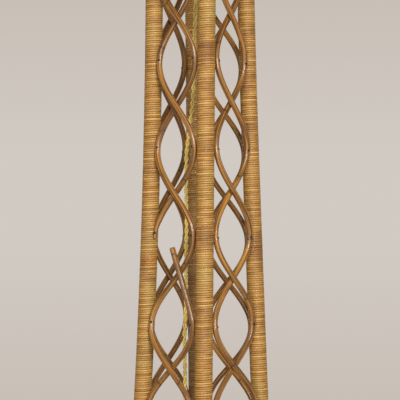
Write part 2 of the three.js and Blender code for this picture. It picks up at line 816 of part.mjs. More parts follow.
function addPlug() {
  const [x, y] = PLUG_PLACE;
  const outline = new THREE.Shape();
  outline.moveTo(-PLUG_NOSE / 2, -PLUG_LENGTH);
  outline.lineTo(PLUG_NOSE / 2, -PLUG_LENGTH);
  outline.lineTo(PLUG_WIDTH / 2, -PLUG_LENGTH * 0.45);
  outline.lineTo(PLUG_NOSE / 2, 0);
  outline.lineTo(-PLUG_NOSE / 2, 0);
  outline.lineTo(-PLUG_WIDTH / 2, -PLUG_LENGTH * 0.45);
  const options = { depth: PLUG_HEIGHT, bevelEnabled: false };
  const body = new THREE.ExtrudeGeometry(outline, options);
  const middle = PLUG_HEIGHT / 2;
  const neckHole = rod(GLAND_NECK + GAP, 12, 12).rotateX(Math.PI / 2);
  neckHole.translate(0, -1, middle);
  const pinHoles = [-1, 1].map((side) =>
    rod(PIN_RADIUS + GAP, 2 * PIN_BURIED + 2 * GAP, 10)
      .rotateX(Math.PI / 2)
      .translate((side * PIN_SPACING) / 2, -PLUG_LENGTH, middle),
  );
  add("plug_body", cut(body, neckHole, ...pinHoles).translate(x, y, 0), bakelite);

  ["left", "right"].forEach((name, i) => {
    const pin = rod(PIN_RADIUS, PIN_LENGTH + PIN_BURIED, 10).rotateX(Math.PI / 2);
    const out = -PLUG_LENGTH + PIN_BURIED - (PIN_LENGTH + PIN_BURIED) / 2;
    add(`plug_pin_${name}`, pin.translate(x + (i - 0.5) * PIN_SPACING, y + out, middle), steel);
  });
  const start = new THREE.Vector3(x, y, middle);
  add("plug_gland", aim(gland(6, PLUG_GLAND), start, new THREE.Vector3(0, 1, 0)), rubber);
}
addPlug();

export default lamp;
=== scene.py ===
# %% [markdown]
# # A rattan floor lamp, finished in Blender
# The frame holds the lamp's real parts: four bowed posts, the strips woven between them, the
# disc, the lampholder, the shade, the switch and the plug. This lesson dresses that frame. It
# winds cane round the posts, draws the strips as round rattan, twists the flex from two silk
# cords, and gives every part a finish made from nodes.

# %% Load the frame
import json
import math

import bpy
import numpy as np
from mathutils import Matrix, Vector

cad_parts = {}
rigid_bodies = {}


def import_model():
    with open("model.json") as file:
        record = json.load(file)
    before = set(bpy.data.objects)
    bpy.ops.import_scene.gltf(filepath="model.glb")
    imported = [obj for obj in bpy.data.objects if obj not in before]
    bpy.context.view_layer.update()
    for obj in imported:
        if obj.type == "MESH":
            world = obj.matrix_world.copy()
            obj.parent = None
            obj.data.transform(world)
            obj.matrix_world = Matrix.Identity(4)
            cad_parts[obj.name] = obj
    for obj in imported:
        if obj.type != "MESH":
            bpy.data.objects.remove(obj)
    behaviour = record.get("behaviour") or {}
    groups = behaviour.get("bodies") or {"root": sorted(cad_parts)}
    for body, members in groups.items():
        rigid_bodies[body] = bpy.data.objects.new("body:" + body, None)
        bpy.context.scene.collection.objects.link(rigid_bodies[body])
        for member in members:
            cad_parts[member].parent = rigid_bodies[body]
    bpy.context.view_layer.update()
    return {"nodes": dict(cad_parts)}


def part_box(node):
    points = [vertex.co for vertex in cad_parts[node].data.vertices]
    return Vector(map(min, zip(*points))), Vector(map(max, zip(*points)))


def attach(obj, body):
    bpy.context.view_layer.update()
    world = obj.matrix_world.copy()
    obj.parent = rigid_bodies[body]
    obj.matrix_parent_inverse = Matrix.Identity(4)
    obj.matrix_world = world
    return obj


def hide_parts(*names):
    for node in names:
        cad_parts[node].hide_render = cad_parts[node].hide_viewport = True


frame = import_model()

# %% [markdown]
# ## The column's own geometry
# Every piece of the column follows four bowed lines, the middles of the posts. They stand in a
# square that flares towards the floor and turns a little from foot to top, as hand-bent rattan
# does, and the right post is bowed a few millimetres more than the others. The lines could be
# read off the frame's meshes, but one function that gives a post's middle at any height is
# smoother. The bindings, the strips and the brads all use it, so nothing is fitted by eye.

# %% Posts
POSTS = ["front", "right", "back", "left"]
COLUMN_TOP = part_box("post_core_front")[1].z
POST_CIRCLE = 0.073  # from the lamp's axis to a post's middle, at the top
FLARE = 0.0485  # how much further out the posts stand at the floor
FLARE_POWER = 2.35
TWIST = 10.0  # degrees, from foot to top
POST_BOW = [0, 0.0055, 0, 0]  # how far each post bows out at mid height
POST_RADIUS = 0.014  # over the cane


def post_middle(post, height):
    share = min(max(height / COLUMN_TOP, 0.0), 1.0)
    bow = POST_BOW[post] * math.sin(math.pi * share) ** 2
    distance = POST_CIRCLE + FLARE * (1 - share) ** FLARE_POWER + bow
    angle = math.radians(90 * (post - 1) + TWIST * (height / COLUMN_TOP - 0.5))
    return Vector((distance * math.cos(angle), distance * math.sin(angle), height))


for post, name in enumerate(POSTS):
    foot = post_middle(post, 0.0)
    print(name, "post stands", round(math.hypot(foot.x, foot.y) * 1000), "mm from the axis")

# %% Where the strips run
FACES = ["front_right", "back_right", "back_left", "front_left"]
STRIP_RADIUS = 0.0046
STRIP_OUTSET = 0.0065  # from the line between two posts out to the strips' mean surface
STRIP_WEAVE = STRIP_RADIUS + 0.0005  # how far a strip swings in and out of that surface
STRIP_TAIL = 0.012  # what runs on past the first and last touch
AIR = 0.0003  # left between a strip and the post that it touches
TOUCHES = 9
TOP_TOUCH = COLUMN_TOP - 0.023
BOTTOM_TOUCH = 0.123
FACE_DROP = [0.004, 0.006, 0.004, 0.0]  # how much lower each face's touches lie
TOUCH_PITCH = (TOP_TOUCH - BOTTOM_TOUCH) / (TOUCHES - 1)
TOUCH_SIDE = math.sqrt((POST_RADIUS + STRIP_RADIUS + AIR) ** 2 - STRIP_OUTSET**2)


def touch_height(face, touch):
    return TOP_TOUCH - FACE_DROP[face] - touch * TOUCH_PITCH


def face_sides(face, height):
    """The two posts' middles at a height, and the way that the face looks."""
    first = post_middle(face, height)
    second = post_middle((face + 1) % 4, height)
    middle = (first + second) / 2
    return first, second, Vector((middle.x, middle.y, 0)).normalized()


def face_point(face, height, along, outset):
    first, second, outwards = face_sides(face, height)
    return (first + second) / 2 + (second - first).normalized() * along + outwards * outset


def strip_point(face, strand, height):
    swing = (touch_height(face, 0) - height) / TOUCH_PITCH
    phase = math.pi * (min(max(swing, 0), TOUCHES - 1) + strand)
    first, second, _ = face_sides(face, height)
    along = -math.cos(phase) * ((second - first).length / 2 - TOUCH_SIDE)
    return face_point(face, height, along, STRIP_OUTSET + STRIP_WEAVE * math.sin(phase))


def strip_run(face, strand, top, bottom, step=0.006):
    return [strip_point(face, strand, z) for z in np.arange(top, bottom, -step)]


print("a strip touches a post every", round(TOUCH_PITCH * 1000), "mm")

# %% [markdown]
# ## Camera, floor and light
# The camera stands level with the middle of the column, a few degrees to the left of its front
# post, and far enough away for a long lens, which keeps the posts nearly parallel. The light is
# soft: one large panel beside the camera, a weaker one on the left, and a faint one from behind.
# The world behind the lamp is pale, and a little darker high up and low down. Behind the camera
# the room is dimmer, which keeps the sides of the posts in shade.

# %% Camera
CAMERA_AZIMUTH = -5.0  # degrees
CAMERA_DISTANCE = 2.4
VIEW_CENTRE = Vector((0, 0, 0.730))
VIEW_HEIGHT = 0.640
SENSOR = 36  # the camera's own millimetres

bpy.ops.object.camera_add()
camera = bpy.context.object
camera.name = "camera"
turn = math.radians(CAMERA_AZIMUTH)
back = Vector((math.sin(turn), -math.cos(turn), 0))
camera.location = VIEW_CENTRE + back * CAMERA_DISTANCE
camera.rotation_euler = (-back).to_track_quat("-Z", "Y").to_euler()
camera.data.sensor_width = SENSOR
camera.data.lens = SENSOR * CAMERA_DISTANCE / VIEW_HEIGHT
bpy.context.scene.camera = camera
print("the lens is", round(camera.data.lens), "mm long")

# %% Floor and lights
FLOOR_RADIUS = 2.6
scene = bpy.context.scene
scene.view_settings.view_transform = "Standard"

bpy.ops.mesh.primitive_circle_add(vertices=96, radius=FLOOR_RADIUS, fill_type="NGON")
floor = bpy.context.object
floor.name = "floor"


def panel(name, place, size, power, tint):
    bpy.ops.object.light_add(type="AREA", location=place)
    lamp = bpy.context.object
    lamp.name = name
    lamp.data.size = size
    lamp.data.energy = power
    lamp.data.color = tint
    lamp.rotation_euler = (Vector(place) - VIEW_CENTRE).to_track_quat("Z", "Y").to_euler()


panel("light_front", (0.5, -3.0, 1.5), 1.1, 100, (1.0, 0.97, 0.90))
panel("light_left", (-1.3, -2.7, 0.9), 1.0, 36, (1.0, 0.96, 0.90))
panel("light_behind", (1.4, 2.4, 2.2), 1.4, 10, (1.0, 0.96, 0.90))

# %% World
LEVEL_TINT = (0.640, 0.590, 0.545, 1)  # straight ahead
STEEP_TINT = (0.575, 0.520, 0.465, 1)  # higher up and lower down
STEEP_FROM, STEEP_TO = 0.03, 0.14  # how far off level one tint turns into the other
ROOM_BRIGHTNESS = 0.38  # behind the camera; it is 1 behind the lamp
ROOM_FROM, ROOM_TO = -0.35, 0.65  # how far forwards the room turns brighter

world = bpy.data.worlds.new("world")
scene.world = world
world.use_nodes = True
backdrop = world.node_tree.nodes["Background"]


def world_node(kind, inputs=(), **settings):
    node = world.node_tree.nodes.new(kind)
    for key, value in settings.items():
        setattr(node, key, value)
    for key, value in inputs:
        if hasattr(value, "is_linked"):
            world.node_tree.links.new(value, node.inputs[key])
        else:
            node.inputs[key].default_value = value
    return node


looking = world_node("ShaderNodeTexCoord").outputs["Generated"]
split = world_node("ShaderNodeSeparateXYZ", [(0, looking)]).outputs
steep = world_node("ShaderNodeMath", [(0, split["Z"])], operation="ABSOLUTE").outputs[0]
fade = [("Value", steep), ("From Min", STEEP_FROM), ("From Max", STEEP_TO)]
share = world_node("ShaderNodeMapRange", fade).outputs["Result"]
tints = [(0, share), (6, LEVEL_TINT), (7, STEEP_TINT)]
tint = world_node("ShaderNodeMix", tints, data_type="RGBA").outputs[2]
room = [("Value", split["Y"]), ("From Min", ROOM_FROM), ("From Max", ROOM_TO)]
room += [("To Min", ROOM_BRIGHTNESS)]
glow = world_node("ShaderNodeMapRange", room, interpolation_type="SMOOTHSTEP").outputs["Result"]
world.node_tree.links.new(tint, backdrop.inputs["Color"])
world.node_tree.links.new(glow, backdrop.inputs["Strength"])
print("the world has", len(world.node_tree.nodes), "nodes")

# %% [markdown]
# ## The flex
# The flex is two silk-covered cords twisted round each other. It leaves the bush under the
# lampholder, hangs inside the column, and runs over the floor to the foot switch. A second
# length goes from the switch into a neat coil and on to the plug. It could be dropped by a
# simulation, but then neither its length nor its coil would be known beforehand. So each route
# is a list of points in millimetres, a loop works out the coil's turns, and a smooth curve
# joins them all.

# %% Routes
COLUMN_FLEX = [
    (0, 0, 1229),
    (-1, 0, 1190),
    (-3, 1, 1130),
    (-6.4, 2, 1050),
    (-9, 3, 970),
    (-10.6, 4, 900),
    (-15.5, 4, 852),
    (-20.6, 5, 812),
    (-22, 6, 760),
    (-21, 6, 690),
    (-22.6, 6, 620),
    (-21.6, 6, 575),
    (-24.4, 5, 510),
    (-23.5, 5, 430),
    (-24, 6, 330),
    (-23, 7, 220),
    (-23, 8, 120),
    (-25, 11, 48),
    (-27.2, 14.2, 28),
    (-32, 21.1, 16),
    (-38.8, 30.8, 8),
    (-48.5, 45, 4.2),
    (-60, 61.5, 3.8),
    (-72, 78.5, 3.8),
    (-85, 96, 3.8),
    (-99, 114.5, 3.8),
    (-107, 131, 3.9),
    (-106, 148.5, 4.4),
    (-97.5, 163, 5.8),
    (-84, 171, 8),
    (-68.3, 172, 11),
]
COIL_START = [(68.3, 172, 11), (80, 170.5, 8), (91, 168, 5.2), (108, 165.5, 4.6)]
COIL_END = [(174.5, 104, 16), (176, 92, 13), (176, 76, 9), (173, 56, 7.2), (171, 34.3, 7)]
COIL_MIDDLE = (125, 118)
COIL_LAYERS = (4.7, 11.5, 18.3)  # the heights of the three layers of turns
COIL_END_TURN = 7.25
COIL_STEPS = 16  # points for each turn


def coil_turns():
    """The coil's points: three turns in, three turns out on top of them, and one more above."""
    stops = [0, 0.8, 1, 1.8, 2, 3.8, 4, 4.8, 5, COIL_END_TURN]
    radii = [46, 46, 39, 39, 32, 32, 39, 39, 46, 46]
    rises = [0, 2.75, 3, 5.75, 6, COIL_END_TURN]
    heights = [layer for layer in COIL_LAYERS for _ in range(2)]
    points = []
    for turns in np.linspace(0, COIL_END_TURN, int(COIL_END_TURN * COIL_STEPS) + 1):
        angle = math.pi / 2 - 2 * math.pi * turns
        radius = np.interp(turns, stops, radii)
        x = COIL_MIDDLE[0] + radius * math.cos(angle)
        y = COIL_MIDDLE[1] + radius * math.sin(angle)
        points.append((x, y, np.interp(turns, rises, heights)))
    return points


print("the coil has", len(coil_turns()), "points")

# %% Smooth a route
def lengths_along(points):
    """How far along the line each point lies, from the first."""
    return np.concatenate([[0], np.cumsum(np.linalg.norm(np.diff(points, axis=0), axis=1))])


def smooth_route(points, step, splits=24):
    """A smooth curve through the points, with new points a step apart, and its length."""
    p = np.array([tuple(point) for point in points], float)
    padded = np.vstack([2 * p[0] - p[1], p, 2 * p[-1] - p[-2]])
    t = np.linspace(0, 1, splits, endpoint=False)[:, None]
    pieces = []
    for a, b, c, d in zip(padded, padded[1:], padded[2:], padded[3:]):
        bend = (2 * a - 5 * b + 4 * c - d) * t**2 + (3 * b - a - 3 * c + d) * t**3
        pieces.append(b + ((c - a) * t + bend) / 2)
    line = np.vstack([*pieces, p[-1:]])
    along = lengths_along(line)
    at = np.linspace(0, along[-1], int(along[-1] / step) + 2)
    return np.stack([np.interp(at, along, line[:, k]) for k in range(3)], axis=1), along[-1]


FLEX_STEP = 0.0021
column_route, column_length = smooth_route(np.array(COLUMN_FLEX) / 1000, FLEX_STEP)
coil_points = [*COIL_START, *coil_turns(), *COIL_END]
coil_route, coil_length = smooth_route(np.array(coil_points) / 1000, FLEX_STEP)
print("flex to the switch:", round(column_length, 3), "m")
print("flex from the switch to the plug:", round(coil_length, 3), "m")

# %% [markdown]
# ### Tubes
# The flex, the strips, the hoop and the shade's spokes are all tubes. A tube could be built ring
# by ring, but a curve with a round bevel does that by itself, and is then turned into a mesh.
# Its rings come out in order, so its map can be written straight after: one number runs along
# the tube in metres and the other once round it. The finishes read that map, so grain and braid
# follow the bends.

# %% Choose, aim and map a piece
def deselect():
    if bpy.context.object and bpy.context.object.mode != "OBJECT":
        bpy.ops.object.mode_set(mode="OBJECT")
    bpy.ops.object.select_all(action="DESELECT")


def choose(piece):
    deselect()
    piece.select_set(True)
    bpy.context.view_layer.objects.active = piece


def aim(piece, facing, place):
    """Turn a piece's Z towards facing and move it to its place, in its mesh."""
    turn_to = Vector(facing).to_track_quat("Z", "Y").to_matrix()
    for vertex in piece.data.vertices:
        vertex.co = turn_to @ vertex.co + Vector(place)


def map_layer(mesh):
    layer = mesh.uv_layers.active or mesh.uv_layers.new(name="UVMap")
    layer.name = "UVMap"
    return layer


def write_map(piece, along, around):
    """Write the map: along and around hold one number for each vertex."""
    mesh = piece.data
    corners = np.zeros(len(mesh.loops), dtype=np.int32)
    mesh.loops.foreach_get("vertex_index", corners)
    pairs = np.stack([along[corners], around[corners]], axis=1)
    map_layer(mesh).data.foreach_set("uv", pairs.astype(np.float32).ravel())


# %% Tubes along a line
def tube_curve(points, radius, thickness, sides, cyclic):
    bpy.ops.curve.primitive_nurbs_path_add()
    curve = bpy.context.object.data
    curve.splines.clear()
    spline = curve.splines.new("POLY")
    spline.points.add(len(points) - 1)
    places = np.hstack([points, np.ones((len(points), 1))])
    spline.points.foreach_set("co", places.astype(np.float32).ravel())
    if thickness is not None:
        spline.points.foreach_set("radius", np.array(thickness, np.float32))
    spline.use_cyclic_u = cyclic
    curve.twist_mode = "MINIMUM"
    curve.bevel_depth = radius
    curve.bevel_resolution = (sides - 4) // 2
    curve.use_fill_caps = not cyclic
    bpy.ops.object.convert(target="MESH")
    return bpy.context.object


def draw_tube(name, points, radius, thickness=None, sides=12, cyclic=False, start=0.0):
    """A round tube along points, with thickness as a share of the radius at each of them."""
    deselect()
    points = np.array([tuple(point) for point in points], float)
    piece = tube_curve(points, radius, thickness, sides, cyclic)
    piece.name = name
    choose(piece)
    bpy.ops.object.mode_set(mode="EDIT")
    bpy.ops.mesh.select_all(action="SELECT")
    bpy.ops.mesh.remove_doubles(threshold=1e-7)
    bpy.ops.mesh.normals_make_consistent(inside=False)
    bpy.ops.object.mode_set(mode="OBJECT")
    bpy.ops.object.shade_smooth_by_angle(angle=math.radians(50))
    rings = len(points)
    assert len(piece.data.vertices) == rings * sides, name
    along = start + np.repeat(lengths_along(points), sides)
    write_map(piece, along, np.tile(np.arange(sides) / sides, rings))
    return piece


def join_pieces(name, pieces):
    choose(pieces[0])
    for piece in pieces:
        piece.select_set(True)
    bpy.ops.object.join()
    joined = bpy.context.object
    joined.name = name
    return joined


# %% [markdown]
# ### Two strands
# The flex could be one tube with a spiral bump, but light shows between its strands, and their
# shadows turn with them. So each strand is a tube of its own, moved off the route by its own
# radius, and it turns once round the route every 25 mm.

# %% Twist two strands into a flex
FLEX_DIAMETER = 0.007
STRAND_RADIUS = FLEX_DIAMETER / 4
TWIST_PITCH = 0.0255  # one turn of the two strands


def sides_of(route):
    """Two directions square to the route at each point, carried along it without spinning."""
    forward = np.gradient(route, axis=0)
    forward /= np.linalg.norm(forward, axis=1)[:, None]
    side = np.zeros_like(route)
    side[0] = np.cross(forward[0], (0, 1, 0.2))
    side[0] /= np.linalg.norm(side[0])
    for i in range(1, len(route)):
        side[i] = side[i - 1] - forward[i] * (side[i - 1] @ forward[i])
        side[i] /= np.linalg.norm(side[i])
    return side, np.cross(forward, side)


def twist_flex(name, route):
    """Two strands wound round a route, as one piece."""
    side, other = sides_of(route)
    strands = []
    for half in (0, 1):
        angle = 2 * np.pi * lengths_along(route) / TWIST_PITCH + half * np.pi
        shift = side * np.cos(angle)[:, None] + other * np.sin(angle)[:, None]
        line = route + shift * STRAND_RADIUS
        strands.append(draw_tube(name, line, STRAND_RADIUS, sides=8, start=0.4 * half))
    return join_pieces(name, strands)


flex_in_lamp = twist_flex("flex_in_lamp", column_route)
flex_to_plug = twist_flex("flex_with_coil", coil_route)
print("the two flexes have", len(flex_in_lamp.data.polygons), "and", end=" ")
print(len(flex_to_plug.data.polygons), "faces")

# %% [markdown]
# ## Finishes
# A picture of cane could be wrapped round a post, but it would repeat itself and blur close up.
# So every finish is made from nodes. A small class stands for one value in a node tree, so that
# a sum or a product of values reads as ordinary arithmetic and adds the nodes for it. Colours
# are given as they look on a screen and are turned into the renderer's own scale.

# %% Values in a node tree
def feed(tree, socket, value):
    """Link a value to a socket, or write a plain number or colour there."""
    if isinstance(value, Value):
        tree.links.new(value.socket, socket)
    else:
        socket.default_value = value


class Value:
    """One output in a node tree. Arithmetic on it adds the nodes for that arithmetic."""

    def __init__(self, tree, socket):
        self.tree, self.socket = tree, socket

    def math(self, operation, *values):
        node = self.tree.nodes.new("ShaderNodeMath")
        node.operation = operation
        for socket, value in zip(node.inputs, values):
            feed(self.tree, socket, value)
        return Value(self.tree, node.outputs[0])

    def __add__(self, other):
        return self.math("ADD", self, other)

    def __radd__(self, other):
        return self.math("ADD", other, self)

    def __sub__(self, other):
        return self.math("SUBTRACT", self, other)

    def __rsub__(self, other):
        return self.math("SUBTRACT", other, self)

    def __mul__(self, other):
        return self.math("MULTIPLY", self, other)

    def __rmul__(self, other):
        return self.math("MULTIPLY", other, self)

    def sine(self):
        return self.math("SINE", self)

    def cosine(self):
        return self.math("COSINE", self)

    def to_and_fro(self, reach):
        """Up to reach and back to 0, again and again."""
        return self.math("PINGPONG", self, reach)

    def between(self, low, high):
        """0 below low, 1 above high, and smooth from one to the other."""
        node = self.tree.nodes.new("ShaderNodeMapRange")
        node.interpolation_type = "SMOOTHSTEP"
        feed(self.tree, node.inputs["Value"], self)
        node.inputs["From Min"].default_value = low
        node.inputs["From Max"].default_value = high
        return Value(self.tree, node.outputs["Result"])


# %% Colours and finishes
def screen(red, green, blue):
    """A colour as it looks on a screen, 0 to 255, on the renderer's scale."""
    shares = [v / 255 for v in (red, green, blue)]
    linear = [v / 12.92 if v <= 0.04045 else ((v + 0.055) / 1.055) ** 2.4 for v in shares]
    return (*linear, 1.0)


class Finish:
    """A material, with the few calls that the finishes here need."""

    def __init__(self, name, color, roughness, metallic=0.0, coat=0.0):
        self.material = bpy.data.materials.new(name)
        self.material.use_nodes = True
        self.tree = self.material.node_tree
        self.surface = self.tree.nodes["Principled BSDF"]
        self.surface.inputs["Base Color"].default_value = color
        self.surface.inputs["Roughness"].default_value = roughness
        self.surface.inputs["Metallic"].default_value = metallic
        self.surface.inputs["Coat Weight"].default_value = coat
        self.material.diffuse_color = color

    def node(self, kind, out, inputs, **settings):
        made = self.tree.nodes.new(kind)
        for key, value in settings.items():
            setattr(made, key, value)
        for key, value in inputs.items():
            feed(self.tree, made.inputs[key], value)
        return Value(self.tree, made.outputs[out])

    def split(self, vector):
        return [self.node("ShaderNodeSeparateXYZ", axis, {0: vector}) for axis in range(3)]

    def map(self):
        """Along the piece and round it, both from its own map."""
        along, around, _ = self.split(self.node("ShaderNodeUVMap", 0, {}, uv_map="UVMap"))
        return along, around

    def place(self):
        return self.split(self.node("ShaderNodeTexCoord", "Object", {}))

    def noise(self, x, y, z=0.0, scale=1.0, detail=2.0):
        vector = self.node("ShaderNodeCombineXYZ", 0, {0: x, 1: y, 2: z})
        inputs = {"Vector": vector, "Scale": scale, "Detail": detail}
        return self.node("ShaderNodeTexNoise", 0, inputs)

    def mix(self, share, low, high):
        inputs = {0: share, 6: low, 7: high}
        return self.node("ShaderNodeMix", 2, inputs, data_type="RGBA")

    def set(self, **values):
        for key, value in values.items():
            socket = self.surface.inputs[key.replace("_", " ").title()]
            self.tree.links.new(value.socket, socket)

    def bump(self, height, distance, strength=1.0):
        inputs = {"Height": height, "Distance": distance, "Strength": strength}
        self.set(normal=self.node("ShaderNodeBump", 0, inputs))


def paint(piece, finish):
    piece.data.materials.clear()
    piece.data.materials.append(finish.material)


# %% [markdown]
# ### Cane, rattan and wood
# Cane is the shiny skin of rattan, split into thin flat strands. Its tone drifts along each
# strand, so neighbouring turns differ. Painted shade darkens the grooves between turns and the
# back post low down. The strips are whole thin stems: browner, streaked along their length, with a
# dark ring at each joint of the stem and a film of old varnish.

# %% Cane
BACK_POST = (0.04, 0.06)  # how far back the back post alone lies
BACK_SHADE_HEIGHTS = (0.40, 0.95)  # the heights between which its painted shade fades out
GROOVE_SHADE = (0.022, 0.062)  # how far from the middle of a strand the painted shade in the grooves starts and is full


def cane_finish():
    light = screen(191, 150, 79)
    cane = Finish("cane_binding", light, 0.5, coat=0.04)
    along, around = cane.map()
    x, y, z = cane.place()
    drift = cane.noise(along * 10.0, 0.0, detail=3.0)
    strand = cane.noise(along * 1.1, 7.0, detail=1.0)
    fibre = cane.noise(along * 60.0, around * 26.0)
    stain = cane.noise(x * 14.0, y * 14.0, z * 19.0, detail=3.0)
    patch = cane.noise(x * 9.0, y * 9.0, z * 11.0 + 4.0)
    tone = cane.mix(drift.between(0.36, 0.68), screen(142, 97, 38), light)
    tone = cane.mix(strand.between(0.50, 0.72) * 0.4, tone, screen(166, 106, 32))
    tone = cane.mix(stain.between(0.50, 0.70) * 0.6, tone, screen(106, 63, 20))
    tone = cane.mix(patch.between(0.52, 0.66) * 0.5, tone, screen(164, 138, 72))
    tone = cane.mix(fibre.between(0.5, 0.8) * 0.35, tone, screen(104, 64, 24))
    # Painted shade: the back post's lower part is darkened where it stands in shadow behind the
    # front post.
    back_painted_shade = y.between(*BACK_POST) * (1.0 - z.between(*BACK_SHADE_HEIGHTS))
    tone = cane.mix(back_painted_shade * 0.6, tone, screen(66, 36, 12))
    # Painted shade: each turn is darkened towards its edges, where the grooves between turns lie
    # in shade.
    edge = ((around - 0.5) * (around - 0.5)).between(*GROOVE_SHADE)
    tone = cane.mix(edge * 0.75, tone, screen(46, 24, 7))
    cane.set(base_color=tone, roughness=0.47 + fibre * 0.2)
    cane.bump(fibre, 0.0002, 0.35)
    return cane


CANE = cane_finish()

# %% Rattan
NODE_SPACING = 0.235  # from one joint of a rattan stem to the next
NODE_RING = (0.0006, 0.0022)  # where the dark ring at a joint starts to fade and is gone


def rattan_finish(name, dark, light, edge):
    rattan = Finish(name, light, 0.38, coat=0.35)
    along, around = rattan.map()
    turn = around * (2 * math.pi)
    round_x, round_y = turn.cosine(), turn.sine()
    streak = rattan.noise(along * 9.0, round_x * 2.6, round_y * 2.6, detail=4.0)
    patch = rattan.noise(along * 16.0, round_x * 0.5, round_y * 0.5)
    fine = rattan.noise(along * 30.0, round_x * 9.0, round_y * 9.0)
    tone = rattan.mix(streak.between(0.36, 0.66), dark, light)
    tone = rattan.mix(patch.between(0.48, 0.72) * 0.6, tone, edge)
    tone = rattan.mix(fine.between(0.5, 0.78) * 0.3, tone, edge)
    joint = 1.0 - along.to_and_fro(NODE_SPACING / 2).between(*NODE_RING)
    tone = rattan.mix(joint * 0.8, tone, screen(58, 32, 12))
    rattan.set(base_color=tone, roughness=0.32 + fine * 0.25)
    rattan.bump(streak + fine * 0.6, 0.0004, 0.5)
    return rattan


STRIP = rattan_finish("rattan_strip", screen(86, 52, 16), screen(166, 116, 46), screen(60, 33, 10))
POLE = rattan_finish("rattan_pole", screen(120, 84, 44), screen(150, 108, 62), screen(86, 56, 26))

# %% Wood
def wood_finish(name, dark, light):
    wood = Finish(name, light, 0.38, coat=0.3)
    x, y, z = wood.place()
    wave = wood.noise(x * 3.0, y * 26.0, z * 26.0, detail=3.0)
    rings = (y * 360.0 + wave * 14.0).sine()
    pores = wood.noise(x * 60.0, y * 900.0, z * 900.0)
    tone = wood.mix(rings * 0.5 + 0.5, dark, light)
    tone = wood.mix(pores.between(0.55, 0.75) * 0.5, tone, screen(60, 34, 16))
    wood.set(base_color=tone, roughness=0.30 + pores * 0.25)
    wood.bump(pores, 0.0002, 0.4)
    return wood


WOOD = wood_finish("wood", screen(84, 46, 22), screen(144, 94, 52))
print("natural finishes:", [one.material.name for one in (CANE, STRIP, POLE, WOOD)])

# %% [markdown]
# ### Silk, linen, metal, Bakelite and rubber
# Silk braid is two sets of threads that cross at an angle, and two sine waves that run round
# the cord in opposite directions give that lattice. Linen is a plain weave with uneven threads,
# and the metals, the Bakelite and the rubber are plain colours with fine wear.

# %% Silk and linen
BRAID_THREADS = 6  # round one strand of the flex


def silk_finish():
    silk = Finish("silk_flex", screen(232, 204, 110), 0.4, coat=0.1)
    along, around = silk.map()
    lean = along * 1900.0
    turn = around * (2 * math.pi * BRAID_THREADS)
    braid = (lean + turn).sine() * (lean - turn).sine() * 0.5 + 0.5
    wear = silk.noise(along * 40.0, 3.0)
    tone = silk.mix(braid.between(0.1, 0.75), screen(196, 158, 58), screen(255, 238, 144))
    tone = silk.mix(wear.between(0.5, 0.8) * 0.5, tone, screen(188, 158, 72))
    silk.set(base_color=tone, roughness=0.55 - braid * 0.15)
    silk.bump(braid, 0.0003, 0.6)
    return silk


def linen_finish(name, dark, light, threads):
    linen = Finish(name, light, 0.85)
    along, around = linen.map()
    weave = (along * threads).sine() * (around * threads).sine() * 0.5 + 0.5
    slub = linen.noise(along * 14.0, around * 900.0)
    slub_two = linen.noise(along * 900.0, around * 14.0)
    tone = linen.mix(weave.between(0.1, 0.9) * 0.7 + slub * 0.15 + slub_two * 0.15, dark, light)
    linen.set(base_color=tone)
    linen.bump(weave + slub + slub_two, 0.0003, 0.5)
    return linen


SILK = silk_finish()
LINEN = linen_finish("linen", screen(204, 190, 160), screen(236, 226, 202), 5200.0)
BRAID = linen_finish("linen_braid", screen(178, 152, 108), screen(212, 188, 142), 1800.0)
paint(flex_in_lamp, SILK)
paint(flex_to_plug, SILK)

# %% Metal, Bakelite, glass and rubber
def plain_finish(name, color, worn, roughness, metallic=0.0, coat=0.0, grain=40.0):
    """One colour, worn in spots, with a fine grain in its gloss and its surface."""
    plain = Finish(name, color, roughness, metallic, coat)
    place = plain.place()
    spots = plain.noise(*place, grain, 4.0)
    fine = plain.noise(*place, grain * 18)
    plain.set(base_color=plain.mix(spots.between(0.42, 0.72), color, worn))
    plain.set(roughness=spots * 0.16 + (roughness - 0.08) + fine * 0.04)
    plain.bump(fine, 0.00008, 0.3)
    return plain


CREAM, WORN_CREAM = screen(210, 198, 168), screen(192, 176, 142)
BRASS = plain_finish("brass", screen(196, 158, 84), screen(150, 114, 56), 0.28, 1.0)
STEEL = plain_finish("steel", screen(176, 176, 174), screen(140, 138, 134), 0.32, 1.0)
IRON = plain_finish("brad_iron", screen(30, 19, 12), screen(62, 36, 20), 0.6, 0.4, grain=220.0)
BAKELITE = plain_finish("bakelite", screen(52, 30, 20), screen(66, 38, 24), 0.24, coat=0.4)
BUTTON = plain_finish("bakelite_button", CREAM, WORN_CREAM, 0.3, coat=0.3)
CERAMIC = plain_finish("ceramic", screen(236, 234, 226), screen(218, 214, 202), 0.25, coat=0.4)
BULB = plain_finish("bulb_glass", screen(244, 240, 228), screen(238, 232, 216), 0.16, coat=0.8)
RUBBER = plain_finish("rubber", screen(34, 32, 31), screen(52, 49, 46), 0.6)
FLOOR = plain_finish("floor_paper", (0.62, 0.57, 0.52, 1), (0.61, 0.56, 0.51, 1), 0.9, grain=2.0)
paint(floor, FLOOR)
print(len(bpy.data.materials), "finishes")

# %% [markdown]
# ## The cane round the posts
# Each post is a rattan pole wound with about 350 turns of flat cane. The grooves could be bump
# on a plain cylinder, but then the post's edge would be smooth against the light. So one outline
# of the strand is screwed up a straight cylinder by the Screw modifier, which gives a true
# helix, and each point is then moved to the post's own line. Small uneven steps between turns
# let dark gaps open here and there.

# %% Screw one strand up a cylinder
CANE_PITCH = 0.0035
CANE_STEPS = 24  # rings for each turn
CANE_END = 0.0018  # half a strand and a little more, kept free at each end of a post
CANE_OUTLINE = [
    (12.75, -1.58),
    (13.62, -1.66),
    (13.90, -1.05),
    (14.00, 0.0),
    (13.90, 1.05),
    (13.62, 1.66),
    (12.75, 1.58),
]
CANE_ROUND = [0.0, 0.24, 0.36, 0.5, 0.64, 0.76, 1.0]  # the map's second number at each point


